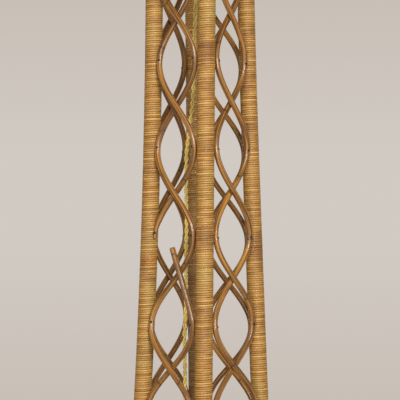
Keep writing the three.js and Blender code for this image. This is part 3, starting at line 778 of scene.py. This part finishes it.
def close_ends(piece):
    choose(piece)
    bpy.ops.object.mode_set(mode="EDIT")
    bpy.ops.mesh.select_mode(type="EDGE")
    bpy.ops.mesh.select_all(action="DESELECT")
    bpy.ops.mesh.select_non_manifold()
    bpy.ops.mesh.fill_holes(sides=0)
    bpy.ops.mesh.select_all(action="SELECT")
    bpy.ops.mesh.normals_make_consistent(inside=False)
    bpy.ops.object.mode_set(mode="OBJECT")


def straight_winding(name, height):
    """The strand's outline screwed up a straight cylinder of that height."""
    turns = int(height / CANE_PITCH)
    deselect()
    bpy.ops.mesh.primitive_circle_add(vertices=len(CANE_OUTLINE), radius=0.001)
    piece = bpy.context.object
    piece.name = name
    for vertex, (radius, rise) in zip(piece.data.vertices, CANE_OUTLINE):
        vertex.co = (radius / 1000, 0, rise / 1000)
    helix = piece.modifiers.new("wind", "SCREW")
    helix.angle = 2 * math.pi
    helix.screw_offset = height / turns
    helix.iterations = turns
    helix.steps = CANE_STEPS
    helix.render_steps = CANE_STEPS
    helix.use_smooth_shade = True
    choose(piece)
    bpy.ops.object.modifier_apply(modifier="wind")
    return piece


print("a strand is", round(CANE_OUTLINE[5][1] * 2, 1), "mm wide")

# %% Wind the bindings
CANE_SEED = 40
UNEVEN_LIFT = 0.00013  # how far, typically, a turn lies above or below its place
UNEVEN_DEPTH = 0.00007  # how much, typically, turns differ in thickness
SETTLED = 0.00008  # how much thinner than its outline a turn is, on average
THINNEST = 0.0003  # how much thinner a turn may get
MAP_GAP = 37.0  # between the maps of two posts, so that their tones differ


def wind_binding(post):
    chance = np.random.default_rng(CANE_SEED + post)
    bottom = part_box(f"post_binding_{POSTS[post]}")[0].z + CANE_END
    piece = straight_winding(f"cane_{POSTS[post]}", COLUMN_TOP - CANE_END - bottom)
    mesh = piece.data
    points = np.zeros(len(mesh.vertices) * 3)
    mesh.vertices.foreach_get("co", points)
    points = points.reshape(-1, 3)
    order = np.arange(len(points))
    turned = order // len(CANE_OUTLINE) / CANE_STEPS
    knots = np.arange(int(turned.max()) + 3)
    lift = chance.normal(0, UNEVEN_LIFT, len(knots))
    lift = np.clip(lift, -2 * UNEVEN_LIFT, 2 * UNEVEN_LIFT)
    swell = chance.normal(0, UNEVEN_DEPTH, len(knots)) - SETTLED
    height = points[:, 2] + bottom + np.interp(turned, knots, lift)
    height = np.clip(height, bottom - 0.0017, COLUMN_TOP)
    outer = 1 + np.clip(np.interp(turned, knots, swell), -THINNEST, 0.0) / POST_RADIUS
    line = np.array([post_middle(post, h) for h in np.linspace(0, COLUMN_TOP, 400)])
    for axis in (0, 1):
        middle = np.interp(height, line[:, 2], line[:, axis])
        points[:, axis] = points[:, axis] * outer + middle
    points[:, 2] = height
    mesh.vertices.foreach_set("co", points.ravel())
    mesh.update()
    around = np.array(CANE_ROUND)[order % len(CANE_OUTLINE)]
    write_map(piece, turned * 2 * math.pi * POST_RADIUS + post * MAP_GAP, around)
    close_ends(piece)
    paint(piece, CANE)
    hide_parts(f"post_binding_{POSTS[post]}")
    return len(mesh.polygons), turned.max()


for post in range(4):
    faces, turns = wind_binding(post)
    paint(frame["nodes"][f"post_core_{POSTS[post]}"], POLE)
print(round(turns), "turns and", faces, "faces on the last post")

# %% [markdown]
# ## The lattice
# Two strips cross and recross on each face and touch a post nine times. The frame's strips have
# few sides and long steps, and smoothing them would make them thinner. So they are drawn again
# along the same formula, with a finer step and fourteen sides. On the front left face one strip
# has broken: its upper length stays pinned to the left post and tapers to an end, and the lower
# length has sprung free and stands clear with a cut end.

# %% Weave the strips
STRIP_SIDES = 14
JOINT_SWELL = 0.015  # how much thicker a stem is at a joint, as a share of its radius
JOINT_REACH = 0.003
LOOSE_TOUCH = 4  # the touch at which the broken strip came free
LOOSE_END = 0.008  # from that touch down to the upper length's end
LOOSE_TAPER = 0.03  # the length over which the upper length's end gets thinner
# The lower length's free end: along the face, out of it, and down from that touch.
LOOSE_RUN = [(0.001, 0.0116, 0.020), (0.015, 0.0112, 0.055), (0.029, 0.0086, 0.093)]
LOOSE_JOIN = 0.129  # from that touch down to where the lower length is in its place again


def joint_swell(count, step, start):
    along = np.arange(count) * step + start
    away = np.abs((along + NODE_SPACING / 2) % NODE_SPACING - NODE_SPACING / 2)
    return 1 - JOINT_SWELL + JOINT_SWELL * np.exp(-((away / JOINT_REACH) ** 2))


def add_strip(name, points, node, taper=None, start=0.0):
    line, length = smooth_route(points, 0.004)
    thickness = joint_swell(len(line), length / (len(line) - 1), start)
    if taper:
        distance = length - np.linspace(0, length, len(line))
        thickness = thickness * np.clip(0.42 + 0.58 * distance / taper, 0, 1)
    piece = draw_tube(name, line, STRIP_RADIUS, thickness, STRIP_SIDES, start=start)
    paint(piece, STRIP)
    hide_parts(node)


for face, name in enumerate(FACES):
    top = touch_height(face, 0) + STRIP_TAIL
    bottom = touch_height(face, TOUCHES - 1) - STRIP_TAIL
    second = strip_run(face, 1, top, bottom)
    add_strip(f"strip_{name}_b", second, f"{name}_strip_b", start=0.05 + 0.3 * face)
    if name != "front_left":
        first = strip_run(face, 0, top, bottom)
        add_strip(f"strip_{name}_a", first, f"{name}_strip_a", start=0.17 + 0.3 * face)
        continue
    loose = touch_height(face, LOOSE_TOUCH)
    upper = strip_run(face, 0, top, loose - LOOSE_END)
    node = "front_left_strip_a_upper"
    add_strip("strip_front_left_a_upper", upper, node, LOOSE_TAPER, start=1.1)
    lower = [face_point(face, loose - drop, along, outset) for along, outset, drop in LOOSE_RUN]
    lower += strip_run(face, 0, loose - LOOSE_JOIN, bottom)
    add_strip("strip_front_left_a_lower", lower, "front_left_strip_a_lower", start=1.63)

# %% [markdown]
# ## The brads
# Small iron brads pin each strip to its post, and their dark heads show at every touch. They
# could be dots in the strip's finish, but a raised head catches the light. One head is a sphere
# cut in half and flattened. It is copied to each touch and turned to face out of the lamp.

# %% Drive the brads
BRAD_RADIUS = 0.0021
BRAD_FLATTENED = 0.55
BRAD_SUNK = 0.0004


def model_brad():
    deselect()
    bpy.ops.mesh.primitive_uv_sphere_add(segments=10, ring_count=8, radius=BRAD_RADIUS)
    head = bpy.context.object
    bpy.ops.object.mode_set(mode="EDIT")
    bpy.ops.mesh.select_all(action="SELECT")
    bpy.ops.mesh.bisect(plane_co=(0, 0, 0), plane_no=(0, 0, 1), clear_inner=True, use_fill=True)
    bpy.ops.object.mode_set(mode="OBJECT")
    for vertex in head.data.vertices:
        vertex.co.z = vertex.co.z * BRAD_FLATTENED - BRAD_SUNK
    bpy.ops.object.shade_smooth_by_angle(angle=math.radians(60))
    return head


def drive_brad(model, face, strand, height):
    """A copy of the brad on a strip, facing away from the post and out of the face."""
    centre = strip_point(face, strand, height)
    first, second, outwards = face_sides(face, height)
    nearer = first if (first - centre).length < (second - centre).length else second
    facing = ((centre - nearer).normalized() * 0.45 + outwards * 0.9).normalized()
    choose(model)
    bpy.ops.object.duplicate()
    head = bpy.context.object
    aim(head, facing, centre + facing * STRIP_RADIUS)
    return head


brad = model_brad()
brads = 0
for face, name in enumerate(FACES):
    heads = []
    for touch in range(TOUCHES):
        for strand in (0, 1):
            height = touch_height(face, touch)
            if name == "front_left" and strand == 0 and touch == LOOSE_TOUCH:
                height += 0.003
            heads.append(drive_brad(brad, face, strand, height))
    brads += len(heads)
    paint(join_pieces(f"brads_{name}", heads), IRON)
bpy.data.objects.remove(brad)
print(brads, "brads")

# %% [markdown]
# ## Turned pieces
# The disc, the cup, the lampholder, the bulb and the glides are all round. A cylinder could be
# inset and extruded step by step, but an outline gives the whole shape at once. So each piece
# starts as a circle whose points are moved to the piece's outline, and the Spin operator turns
# that outline round the axis. Corners are rounded first, so every edge catches the light.

# %% Round the corners of an outline
def rounded(outline, radius, steps=3):
    """The outline with its corners rounded, except where they lie on the axis."""
    points = [Vector(point) for point in outline]
    made = []
    for i, corner in enumerate(points):
        before = points[i - 1] - corner
        after = points[(i + 1) % len(points)] - corner
        straight = before.normalized().dot(after.normalized()) < -0.96
        if radius == 0 or straight or corner.x == 0:
            made.append(corner)
            continue
        start = corner + before.normalized() * min(radius, before.length * 0.45)
        end = corner + after.normalized() * min(radius, after.length * 0.45)
        for t in np.linspace(0, 1, steps + 1):
            made.append(start * (1 - t) ** 2 + corner * 2 * t * (1 - t) + end * t**2)
    return made


corner = rounded([(0, 0), (10, 0), (10, 10), (0, 10)], 2)
print("a square of 4 corners becomes", len(corner), "points, with two of them on the axis")

# %% Spin an outline
def tidy_mesh():
    """In edit mode: merge the seam, drop loose edges and point every face outwards."""
    bpy.ops.mesh.select_all(action="SELECT")
    bpy.ops.mesh.remove_doubles(threshold=2e-6)
    bpy.ops.mesh.delete_loose(use_verts=True, use_edges=True, use_faces=False)
    bpy.ops.mesh.select_all(action="SELECT")
    bpy.ops.mesh.normals_make_consistent(inside=False)


def start_outline(name, points, standing):
    deselect()
    bpy.ops.mesh.primitive_circle_add(vertices=len(points), radius=0.001)
    piece = bpy.context.object
    piece.name = name
    for vertex, (a, b) in zip(piece.data.vertices, points):
        vertex.co = (a / 1000, 0, b / 1000) if standing else (a / 1000, b / 1000, 0)
    bpy.ops.object.mode_set(mode="EDIT")
    bpy.ops.mesh.select_all(action="SELECT")
    return piece


def finish_piece(piece, finish, nodes, angle=35):
    choose(piece)
    bpy.ops.object.shade_smooth_by_angle(angle=math.radians(angle))
    paint(piece, finish)
    if nodes:
        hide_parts(*nodes)
    return piece


def spin_piece(
    name, outline, finish, nodes=(), radius=0.0, steps=48, facing=(0, 0, 1), place=(0, 0, 0)
):
    """An outline of (radius, height) in millimetres, turned round Z, then aimed and moved."""
    piece = start_outline(name, rounded(outline, radius), True)
    bpy.ops.mesh.spin(steps=steps, angle=2 * math.pi, center=(0, 0, 0), axis=(0, 0, 1))
    tidy_mesh()
    bpy.ops.object.mode_set(mode="OBJECT")
    aim(piece, facing, place)
    return finish_piece(piece, finish, nodes)


def levels(node):
    """A round part's bottom, top and radius, in millimetres."""
    low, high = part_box(node)
    return low.z * 1000, high.z * 1000, (high.x - low.x) * 500


# %% Cut one piece out of another
def cut(piece, cutter):
    """Cut the cutter's shape out of a piece, and delete the cutter."""
    choose(piece)
    bite = piece.modifiers.new("bite", "BOOLEAN")
    bite.object = cutter
    bite.operation = "DIFFERENCE"
    bpy.ops.object.modifier_apply(modifier="bite")
    bpy.data.objects.remove(cutter)


# %% [markdown]
# ### Feet and hoop
# Rubber glides keep the posts off the floor. Just above them a rattan hoop ties the four feet
# together. It is one stem bent to a circle, and a cane lashing at the back covers the joint
# between its ends. Both are tubes, and the lashing's line is a helix that follows the hoop.
# Slotted screws hold the hoop to the posts, and the same screws hold the disc.

# %% Glides
for name in POSTS:
    low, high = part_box(f"foot_glide_{name}")
    middle = (low + high) / 2
    outline = [(0, 0), (11.6, 0), (13, 1.4), (13, 4.6), (11.8, 6), (0, 6)]
    place = (middle.x, middle.y, 0)
    spin_piece(f"glide_{name}", outline, RUBBER, [f"foot_glide_{name}"], 0.7, place=place)

# %% Hoop and its lashing
low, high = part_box("base_hoop")
HOOP_TUBE = (high.z - low.z) / 2
HOOP_RADIUS = (high.x - low.x) / 2 - HOOP_TUBE
HOOP_HEIGHT = (high.z + low.z) / 2
HOOP_JOINT = 120  # degrees round the lamp, where the stem's two ends meet
HOOP_STEPS = 144
LASHING_TURNS = 12
LASHING_STEPS = 14  # points for each turn
LASHING_PITCH = 2  # degrees round the lamp for each turn
LASHING_OUT = HOOP_TUBE + 0.0005


def polar(radius, angle, height):
    return Vector((radius * math.cos(angle), radius * math.sin(angle), height))


hoop_angles = np.linspace(0, 2 * np.pi, HOOP_STEPS, endpoint=False) + math.radians(HOOP_JOINT)
hoop_line = [polar(HOOP_RADIUS, angle, HOOP_HEIGHT) for angle in hoop_angles]
hoop = draw_tube("hoop", hoop_line, HOOP_TUBE, sides=20, cyclic=True)
paint(hoop, STRIP)
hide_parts("base_hoop")

lashing = []
for turns in np.arange(0, LASHING_TURNS, 1 / LASHING_STEPS):
    angle = math.radians(HOOP_JOINT + LASHING_PITCH * (turns - LASHING_TURNS / 2))
    out, up, _ = polar(LASHING_OUT, 2 * math.pi * turns, 0)
    lashing.append(polar(HOOP_RADIUS + out, angle, HOOP_HEIGHT + up))
paint(draw_tube("hoop_lashing", lashing, 0.0013, sides=8), CANE)
print("the hoop is", round(HOOP_RADIUS * 2000), "mm across")

# %% Slotted screws
def slotted_screw(name, place, facing, node, radius):
    outline = [(0, -2.2), (1.6, -2.2), (radius, 0), (radius * 0.62, 0.75), (0, 1.0)]
    head = spin_piece(name, outline, BRASS, [node], 0.2, 24)
    deselect()
    bpy.ops.mesh.primitive_cube_add(size=1)
    cutter = bpy.context.object
    for vertex in cutter.data.vertices:
        vertex.co = (vertex.co.x * 0.0012, vertex.co.y * 0.02, vertex.co.z * 0.0014 + 0.0009)
    cut(head, cutter)
    aim(head, facing, place)
    paint(head, BRASS)


DISC_BOTTOM, DISC_TOP, DISC_RADIUS = levels("top_disc")
for post, name in enumerate(POSTS):
    at_hoop = post_middle(post, HOOP_HEIGHT)
    inwards = -Vector((at_hoop.x, at_hoop.y, 0)).normalized()
    place = -inwards * (HOOP_RADIUS - HOOP_TUBE) + Vector((0, 0, HOOP_HEIGHT))
    slotted_screw(f"screw_hoop_{name}", place, inwards, f"hoop_screw_{name}", 3.4)
    top = post_middle(post, COLUMN_TOP)
    place = (top.x, top.y, DISC_TOP / 1000)
    slotted_screw(f"screw_disc_{name}", place, (0, 0, 1), f"disc_screw_{name}", 3.9)
print(2 * len(POSTS), "slotted screws")

# %% [markdown]
# ### Disc, nipple and lampholder
# A turned wooden disc caps the posts. A threaded steel nipple runs through it and holds a brass
# cup and the lampholder above, and a washer, a nut and a collar for the flex below. The
# lampholder is Bakelite with a ceramic insert, and a frosted bulb stands in it. The nipple, the
# washer and the nut are right as the frame has them, so they only get their finish.

# %% Disc, bush and cup
NIPPLE_RADIUS = 5.3  # round the nipple, with a little air
disc = [(NIPPLE_RADIUS, DISC_BOTTOM), (DISC_RADIUS, DISC_BOTTOM), (DISC_RADIUS, DISC_TOP - 7)]
disc += [(DISC_RADIUS - 2, DISC_TOP - 2.2), (DISC_RADIUS - 7, DISC_TOP)]
disc += [(NIPPLE_RADIUS, DISC_TOP)]
spin_piece("disc", disc, WOOD, ["top_disc"], 1.6, 96)

low, high, wide = levels("cord_bush")
bush = [(3.7, low), (5.4, low), (wide, low + 2.4), (wide, high), (NIPPLE_RADIUS, high)]
bush += [(NIPPLE_RADIUS, low + 6.6), (3.7, low + 6.6)]
spin_piece("bush", bush, BAKELITE, ["cord_bush"], 0.5)

low, high, wide = levels("brass_cup")
cup = [(NIPPLE_RADIUS, high - 1.4), (14, high - 1.4), (wide - 4, low + 4), (wide - 1.4, low)]
cup += [(wide, low), (wide, low + 1.6), (wide - 2.4, low + 5.4), (17, high)]
cup += [(NIPPLE_RADIUS, high)]
spin_piece("cup", cup, BRASS, ["brass_cup"], 0.9, 64)

for name, finish, slot in [
    ("nipple", STEEL, "steel"),
    ("nipple_washer", STEEL, "steel"),
    ("nipple_nut", BRASS, "brass"),
]:
    paint(frame["nodes"][name], finish)
print("the disc is", round(DISC_RADIUS * 2), "mm across")

# %% Lampholder
low, high, wide = levels("lampholder_base")
HOLDER_BOTTOM = low
step = low + 5
holder = [(NIPPLE_RADIUS, low), (wide - 3, low), (wide - 1, step), (wide, step + 1.5)]
holder += [(wide, high), (wide - 3, high), (wide - 3, high - 3), (NIPPLE_RADIUS, high - 3)]
spin_piece("holder_base", holder, BAKELITE, ["lampholder_base"], 0.7, 64)

low, high, wide = levels("lampholder_insert")
insert = [(0, low), (wide, low), (wide, high - 2), (13.8, high - 2), (13.8, high), (0, high)]
spin_piece("holder_insert", insert, CERAMIC, ["lampholder_insert"], 0.5)

low, high, wide = levels("lampholder_shell")
SHELL = 20.0
shell = [(14, low + 0.3), (SHELL, low), (SHELL, low + 7.6), (wide, low + 8), (wide, low + 10)]
shell += [(SHELL, low + 10.4)]
for ridge in np.arange(low + 12, high - 5, 2.5):
    shell += [(SHELL - 0.8, ridge), (SHELL, ridge + 1.25)]
shell += [(SHELL - 0.6, high - 3), (SHELL - 1.4, high), (14, high)]
spin_piece("holder_shell", shell, BAKELITE, ["lampholder_shell"], 0.3, 64)
print("the lampholder is", round(high - HOLDER_BOTTOM), "mm high")

# %% Bulb
THREAD_PITCH = 3.6
low, high, wide = levels("bulb_cap")
cap = [(0, low), (5, low), (6.2, low + 2.2), (11.6, low + 3.6)]
for thread in np.arange(low + 4.6, high - 3, THREAD_PITCH):
    cap += [(wide - 0.9, thread), (wide, thread + 1.6)]
cap += [(wide - 0.4, high), (0, high)]
spin_piece("cap", cap, STEEL, ["bulb_cap"], 0.5)

low, high, wide = levels("bulb_glass")
glass = [(0, low), (12.4, low), (12.9, low + 3), (14.4, low + 9), (18.2, low + 17)]
glass += [(23.4, low + 25), (27.4, low + 33)]
for lean in np.radians(np.arange(-10, 90, 10)):
    glass.append((wide * math.cos(lean), high - wide + wide * math.sin(lean)))
glass.append((0, high))
spin_piece("bulb", glass, BULB, ["bulb_glass"], 0.8, 64)
print("the bulb is", round(wide * 2), "mm across")

# %% [markdown]
# ## The shade
# The shade is a cone of linen stretched over two wire rings and edged with braid. Its cover is
# one sheet cut as part of a ring and joined at the back. Cloth simulation would add nothing,
# because linen stretched over a cone has no folds, so the cover is spun as a thin wall. The
# lower ring carries three spokes that run in to a ring clamped on the lampholder.

# %% Cover and braid
SHADE_LOW, SHADE_HIGH, SHADE_WIDE = levels("shade_cover")
SHADE_NARROW = 150.0  # radius at the top
SHADE_WALL = 0.8
SHADE_STEPS = 128


def cover_radius(z):
    return SHADE_WIDE + (SHADE_NARROW - SHADE_WIDE) * (z - SHADE_LOW) / (SHADE_HIGH - SHADE_LOW)


def wrap_map(piece):
    """Write a map that runs round Z in metres and up in metres, with no stretched column."""
    radius = (SHADE_WIDE + SHADE_NARROW) / 2000
    mesh = piece.data
    layer = map_layer(mesh)
    for face in mesh.polygons:
        middle = math.atan2(face.center.y, face.center.x)
        for corner in face.loop_indices:
            at = mesh.vertices[mesh.loops[corner].vertex_index].co
            away = (math.atan2(at.y, at.x) - middle + math.pi) % (2 * math.pi) - math.pi
            layer.data[corner].uv = ((middle + away) * radius, at.z)


outer_line = [(cover_radius(z), z) for z in np.linspace(SHADE_LOW, SHADE_HIGH, 9)]
inner_line = [(radius - SHADE_WALL, z) for radius, z in reversed(outer_line)]
outline = outer_line + inner_line
cover = spin_piece("cover", outline, LINEN, ["shade_cover"], 0, SHADE_STEPS)
wrap_map(cover)

for name, z in [("braid_bottom", SHADE_LOW + 5), ("braid_top", SHADE_HIGH - 5)]:
    near, far = cover_radius(z - 5), cover_radius(z + 5)
    outline = [(near - 1.4, z - 5.4), (near + 0.7, z - 5.4), (near + 0.8, z - 4)]
    outline += [(far + 0.8, z + 4), (far + 0.7, z + 5.4), (far - 1.4, z + 5.4)]
    band = spin_piece(name, outline, BRAID, (), 0.3, SHADE_STEPS)
    wrap_map(band)
print("the shade is", round(SHADE_WIDE * 2), "mm across below", end=" ")
print("and", round(SHADE_NARROW * 2), "mm above")

# %% Wire rings
WIRE_RADIUS = 0.002


def wire_ring(node):
    """The wire inside one edge of the shade, with its radius and its height."""
    low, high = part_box(node)
    height = (low.z + high.z) / 2
    radius = cover_radius((height + WIRE_RADIUS) * 1000) / 1000 - 0.0033
    deselect()
    bpy.ops.mesh.primitive_torus_add(
        major_segments=120, minor_segments=12, major_radius=radius, minor_radius=WIRE_RADIUS
    )
    wire = bpy.context.object
    wire.name = node.replace("shade_ring", "wire_ring")
    for vertex in wire.data.vertices:
        vertex.co.z += height
    return finish_piece(wire, BRASS, [node]), radius, height


ring_low, ring_radius, ring_height = wire_ring("shade_ring_bottom")
ring_high, top_radius, _ = wire_ring("shade_ring_top")
across = [round(radius * 2000) for radius in (ring_radius, top_radius)]
print("the wire rings are", across, "mm across")

# %% Carrier and retainer
CLAMP_HOLE = 20.4  # round the lampholder's thread
CARRIER_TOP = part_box("shade_carrier")[1].z
low, high = CARRIER_TOP * 1000 - 1.6, CARRIER_TOP * 1000
clamp = [(CLAMP_HOLE, low), (26, low), (26, high), (CLAMP_HOLE, high)]
carrier = [spin_piece("carrier", clamp, BRASS, (), 0.4, 48)]
bends = [(0.024, CARRIER_TOP - 0.0012), (0.034, CARRIER_TOP - 0.0014), (0.10, 1.2975)]
bends += [(ring_radius - 0.016, ring_height + 0.0032), (ring_radius - 0.001, ring_height)]
for lean in (30, 150, 270):
    spoke_line, _ = smooth_route([polar(out, math.radians(lean), z) for out, z in bends], 0.006)
    spoke = draw_tube("spoke", spoke_line, 0.0019, sides=12)
    paint(spoke, BRASS)
    carrier.append(spoke)
carrier = join_pieces("carrier", carrier)
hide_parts("shade_carrier")

low, high, wide = levels("shade_retainer")
nut = [(CLAMP_HOLE, low), (wide - 1, low), (wide, low + 1), (wide, high - 1)]
nut += [(wide - 1, high), (CLAMP_HOLE, high)]
spin_piece("retainer", nut, BAKELITE, ["shade_retainer"], 0.4, 48)
print("the carrier has", len(carrier.data.polygons), "faces")

# %% [markdown]
# ## Foot switch, coil tie and plug
# The foot switch is a Bakelite box with a pale button that sinks when it is pressed, and ribbed
# rubber glands let the flex in and out. A strap holds the spare flex in its coil. The plug is a
# flat Bakelite moulding with two round pins. The box and the plug aren't round, so their outlines
# are filled and drawn up, and their upper edges are bevelled. The button's well is cut out.

# %% Shape an outline into a block
def pick_edges(piece, wanted):
    """Select the edges whose two ends pass the test, and go into edit mode."""
    bpy.ops.object.mode_set(mode="OBJECT")
    choose(piece)
    bpy.ops.object.mode_set(mode="EDIT")
    bpy.ops.mesh.select_mode(type="EDGE")
    bpy.ops.mesh.select_all(action="DESELECT")
    bpy.ops.object.mode_set(mode="OBJECT")
    for edge in piece.data.edges:
        a, b = (piece.data.vertices[i].co for i in edge.vertices)
        edge.select = wanted(a, b)
    bpy.ops.object.mode_set(mode="EDIT")


def block_piece(name, outline, bottom, top, edge, place, finish, nodes):
    """An outline in millimetres drawn up from bottom to top, with its upper edge rounded."""
    piece = start_outline(name, outline, False)
    bpy.ops.mesh.edge_face_add()
    high = (top - bottom) / 1000
    bpy.ops.mesh.extrude_region_move(TRANSFORM_OT_translate={"value": (0, 0, high)})
    tidy_mesh()
    pick_edges(piece, lambda a, b: min(a.z, b.z) > high - 1e-6)
    bpy.ops.mesh.bevel(offset=edge / 1000, segments=4, affect="EDGES", clamp_overlap=True)
    bpy.ops.object.mode_set(mode="OBJECT")
    for vertex in piece.data.vertices:
        vertex.co += place + Vector((0, 0, bottom / 1000))
    return finish_piece(piece, finish, nodes, 40)


def rectangle(length, width, corner):
    x, y = length / 2, width / 2
    return rounded([(x, -y), (x, y), (-x, y), (-x, -y)], corner, 8)


# %% Switch box
WELL_RADIUS = 0.0134
WELL_FLOOR = 0.0085
low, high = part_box("switch_base")
SWITCH = Vector(((low.x + high.x) / 2, (low.y + high.y) / 2, 0))
SWITCH_LENGTH = (high.x - low.x) * 1000
outline = rectangle(SWITCH_LENGTH, (high.y - low.y) * 1000, 12)
nodes = ["switch_base"]
base = block_piece("switch_foot", outline, 0, 4, 0.6, SWITCH, RUBBER, nodes)
nodes = ["switch_cover"]
case = block_piece("switch_case", outline, 4.3, 24, 3.4, SWITCH, BAKELITE, nodes)

deselect()
bpy.ops.mesh.primitive_cylinder_add(vertices=64, radius=WELL_RADIUS, depth=0.030)
well = bpy.context.object
for vertex in well.data.vertices:
    vertex.co += SWITCH + Vector((0, 0, WELL_FLOOR + 0.015))
cut(case, well)
choose(case)
bpy.ops.object.shade_smooth_by_angle(angle=math.radians(40))
print("the switch is", round(SWITCH_LENGTH), "mm long")

# %% Collar, button and glands
GLAND_RIBS = 6
GLAND_LENGTH = 30
collar = [(13.4, 22.6), (15.8, 22.6), (15.8, 24.5), (14.9, 25.2), (13.4, 25.2)]
collar = spin_piece("switch_collar", collar, BRASS, (), 0.4, 64, place=SWITCH)
button = [(0, 14), (13, 14), (13, 28.6), (11.4, 30.4), (8.5, 31), (5, 30.2), (0, 29.8)]
nodes = ["switch_button"]
button = spin_piece("button_cap", button, BUTTON, nodes, 0.6, 64, place=SWITCH)
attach(button, "button")


def gland_piece(name, node, place, facing):
    """A ribbed sleeve that gets thinner towards its end."""
    outline = [(3.6, 0.3), (6.8, 0.3), (6.8, 3.2)]
    for rib in range(GLAND_RIBS):
        z = 4.4 + rib * 4.1
        wide = 6.4 - 1.5 * z / GLAND_LENGTH
        outline += [(wide - 1.0, z), (wide - 1.0, z + 1.3), (wide, z + 1.9), (wide, z + 3.6)]
    outline += [(4.8, GLAND_LENGTH), (3.6, GLAND_LENGTH)]
    return spin_piece(name, outline, RUBBER, [node], 0.3, 40, facing, place)


place = SWITCH + Vector((0, 0, 0.011))
end = Vector((SWITCH_LENGTH / 2000, 0, 0))
gland_in = gland_piece("gland_in", "switch_gland_in", place - end, (-1, 0, 0))
gland_out = gland_piece("gland_out", "switch_gland_out", place + end, (1, 0, 0))

# %% Tie
TIE_WIDTH = 0.009
low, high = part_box("coil_tie")
middle = (low + high) / 2
loop = rectangle((high.x - low.x) * 1000 - 1.4, (high.z - low.z) * 1000 - 1.4, 5)
tie = start_outline("tie", loop, True)
bpy.ops.mesh.extrude_edges_move(TRANSFORM_OT_translate={"value": (0, TIE_WIDTH, 0)})
bpy.ops.object.mode_set(mode="OBJECT")
for vertex in tie.data.vertices:
    vertex.co += middle - Vector((0, TIE_WIDTH / 2, 0))
strap = tie.modifiers.new("strap", "SOLIDIFY")
strap.thickness = 0.0009
strap.offset = 0
choose(tie)
bpy.ops.object.modifier_apply(modifier="strap")
bpy.ops.object.mode_set(mode="EDIT")
tidy_mesh()
finish_piece(tie, RUBBER, ["coil_tie"])

# %% Plug
PIN_APART = 0.0095  # from the plug's middle to each pin
PIN_HEIGHT = 0.007
PLUG_GLAND = 24  # how long the plug's gland is; the switch's are GLAND_LENGTH
low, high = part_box("plug_body")
PLUG = Vector(((low.x + high.x) / 2, high.y, 0))
back = (low.y - high.y) * 1000
outline = [(-13, back), (13, back), (17.5, back * 0.45), (13, 0), (-13, 0), (-17.5, back * 0.45)]
outline = rounded(outline, 7, 6)
plug = block_piece("plug", outline, 0, 14, 3.0, PLUG, BAKELITE, ["plug_body"])
for name, side in (("left", -1), ("right", 1)):
    place = PLUG + Vector((side * PIN_APART, back / 1000, PIN_HEIGHT))
    outline = [(0, -4), (2, -4), (2, 16.4), (1.3, 18.6), (0, 19)]
    node = f"plug_pin_{name}"
    pin = spin_piece(f"pin_{name}", outline, STEEL, [node], 0.3, 24, (0, -1, 0), place)
place = PLUG + Vector((0, 0, PIN_HEIGHT))
plug_gland = gland_piece("plug_relief", "plug_gland", place, (0, 1, 0))
for vertex in plug_gland.data.vertices:
    vertex.co.y = PLUG.y + (vertex.co.y - PLUG.y) * PLUG_GLAND / GLAND_LENGTH
print("the plug is", round(-back), "mm long without its pins")

# %% [markdown]
# ## Fasten the pieces to the bodies
# The lamp has two bodies. The button already rides on its own, and every other new piece rides
# on the lamp itself.

# %% Ride on the lamp
for piece in list(bpy.data.objects):
    if piece.type == "MESH" and piece.parent is None and piece is not floor:
        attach(piece, "lamp")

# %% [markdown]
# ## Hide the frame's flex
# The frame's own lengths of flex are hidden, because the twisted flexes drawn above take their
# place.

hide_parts("flex_in_column")
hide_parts("flex_to_coil", "flex_coil", "flex_to_plug")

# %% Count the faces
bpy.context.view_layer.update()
faces = sum(len(o.data.polygons) for o in bpy.data.objects if o.type == "MESH")
print("faces in the scene:", faces)
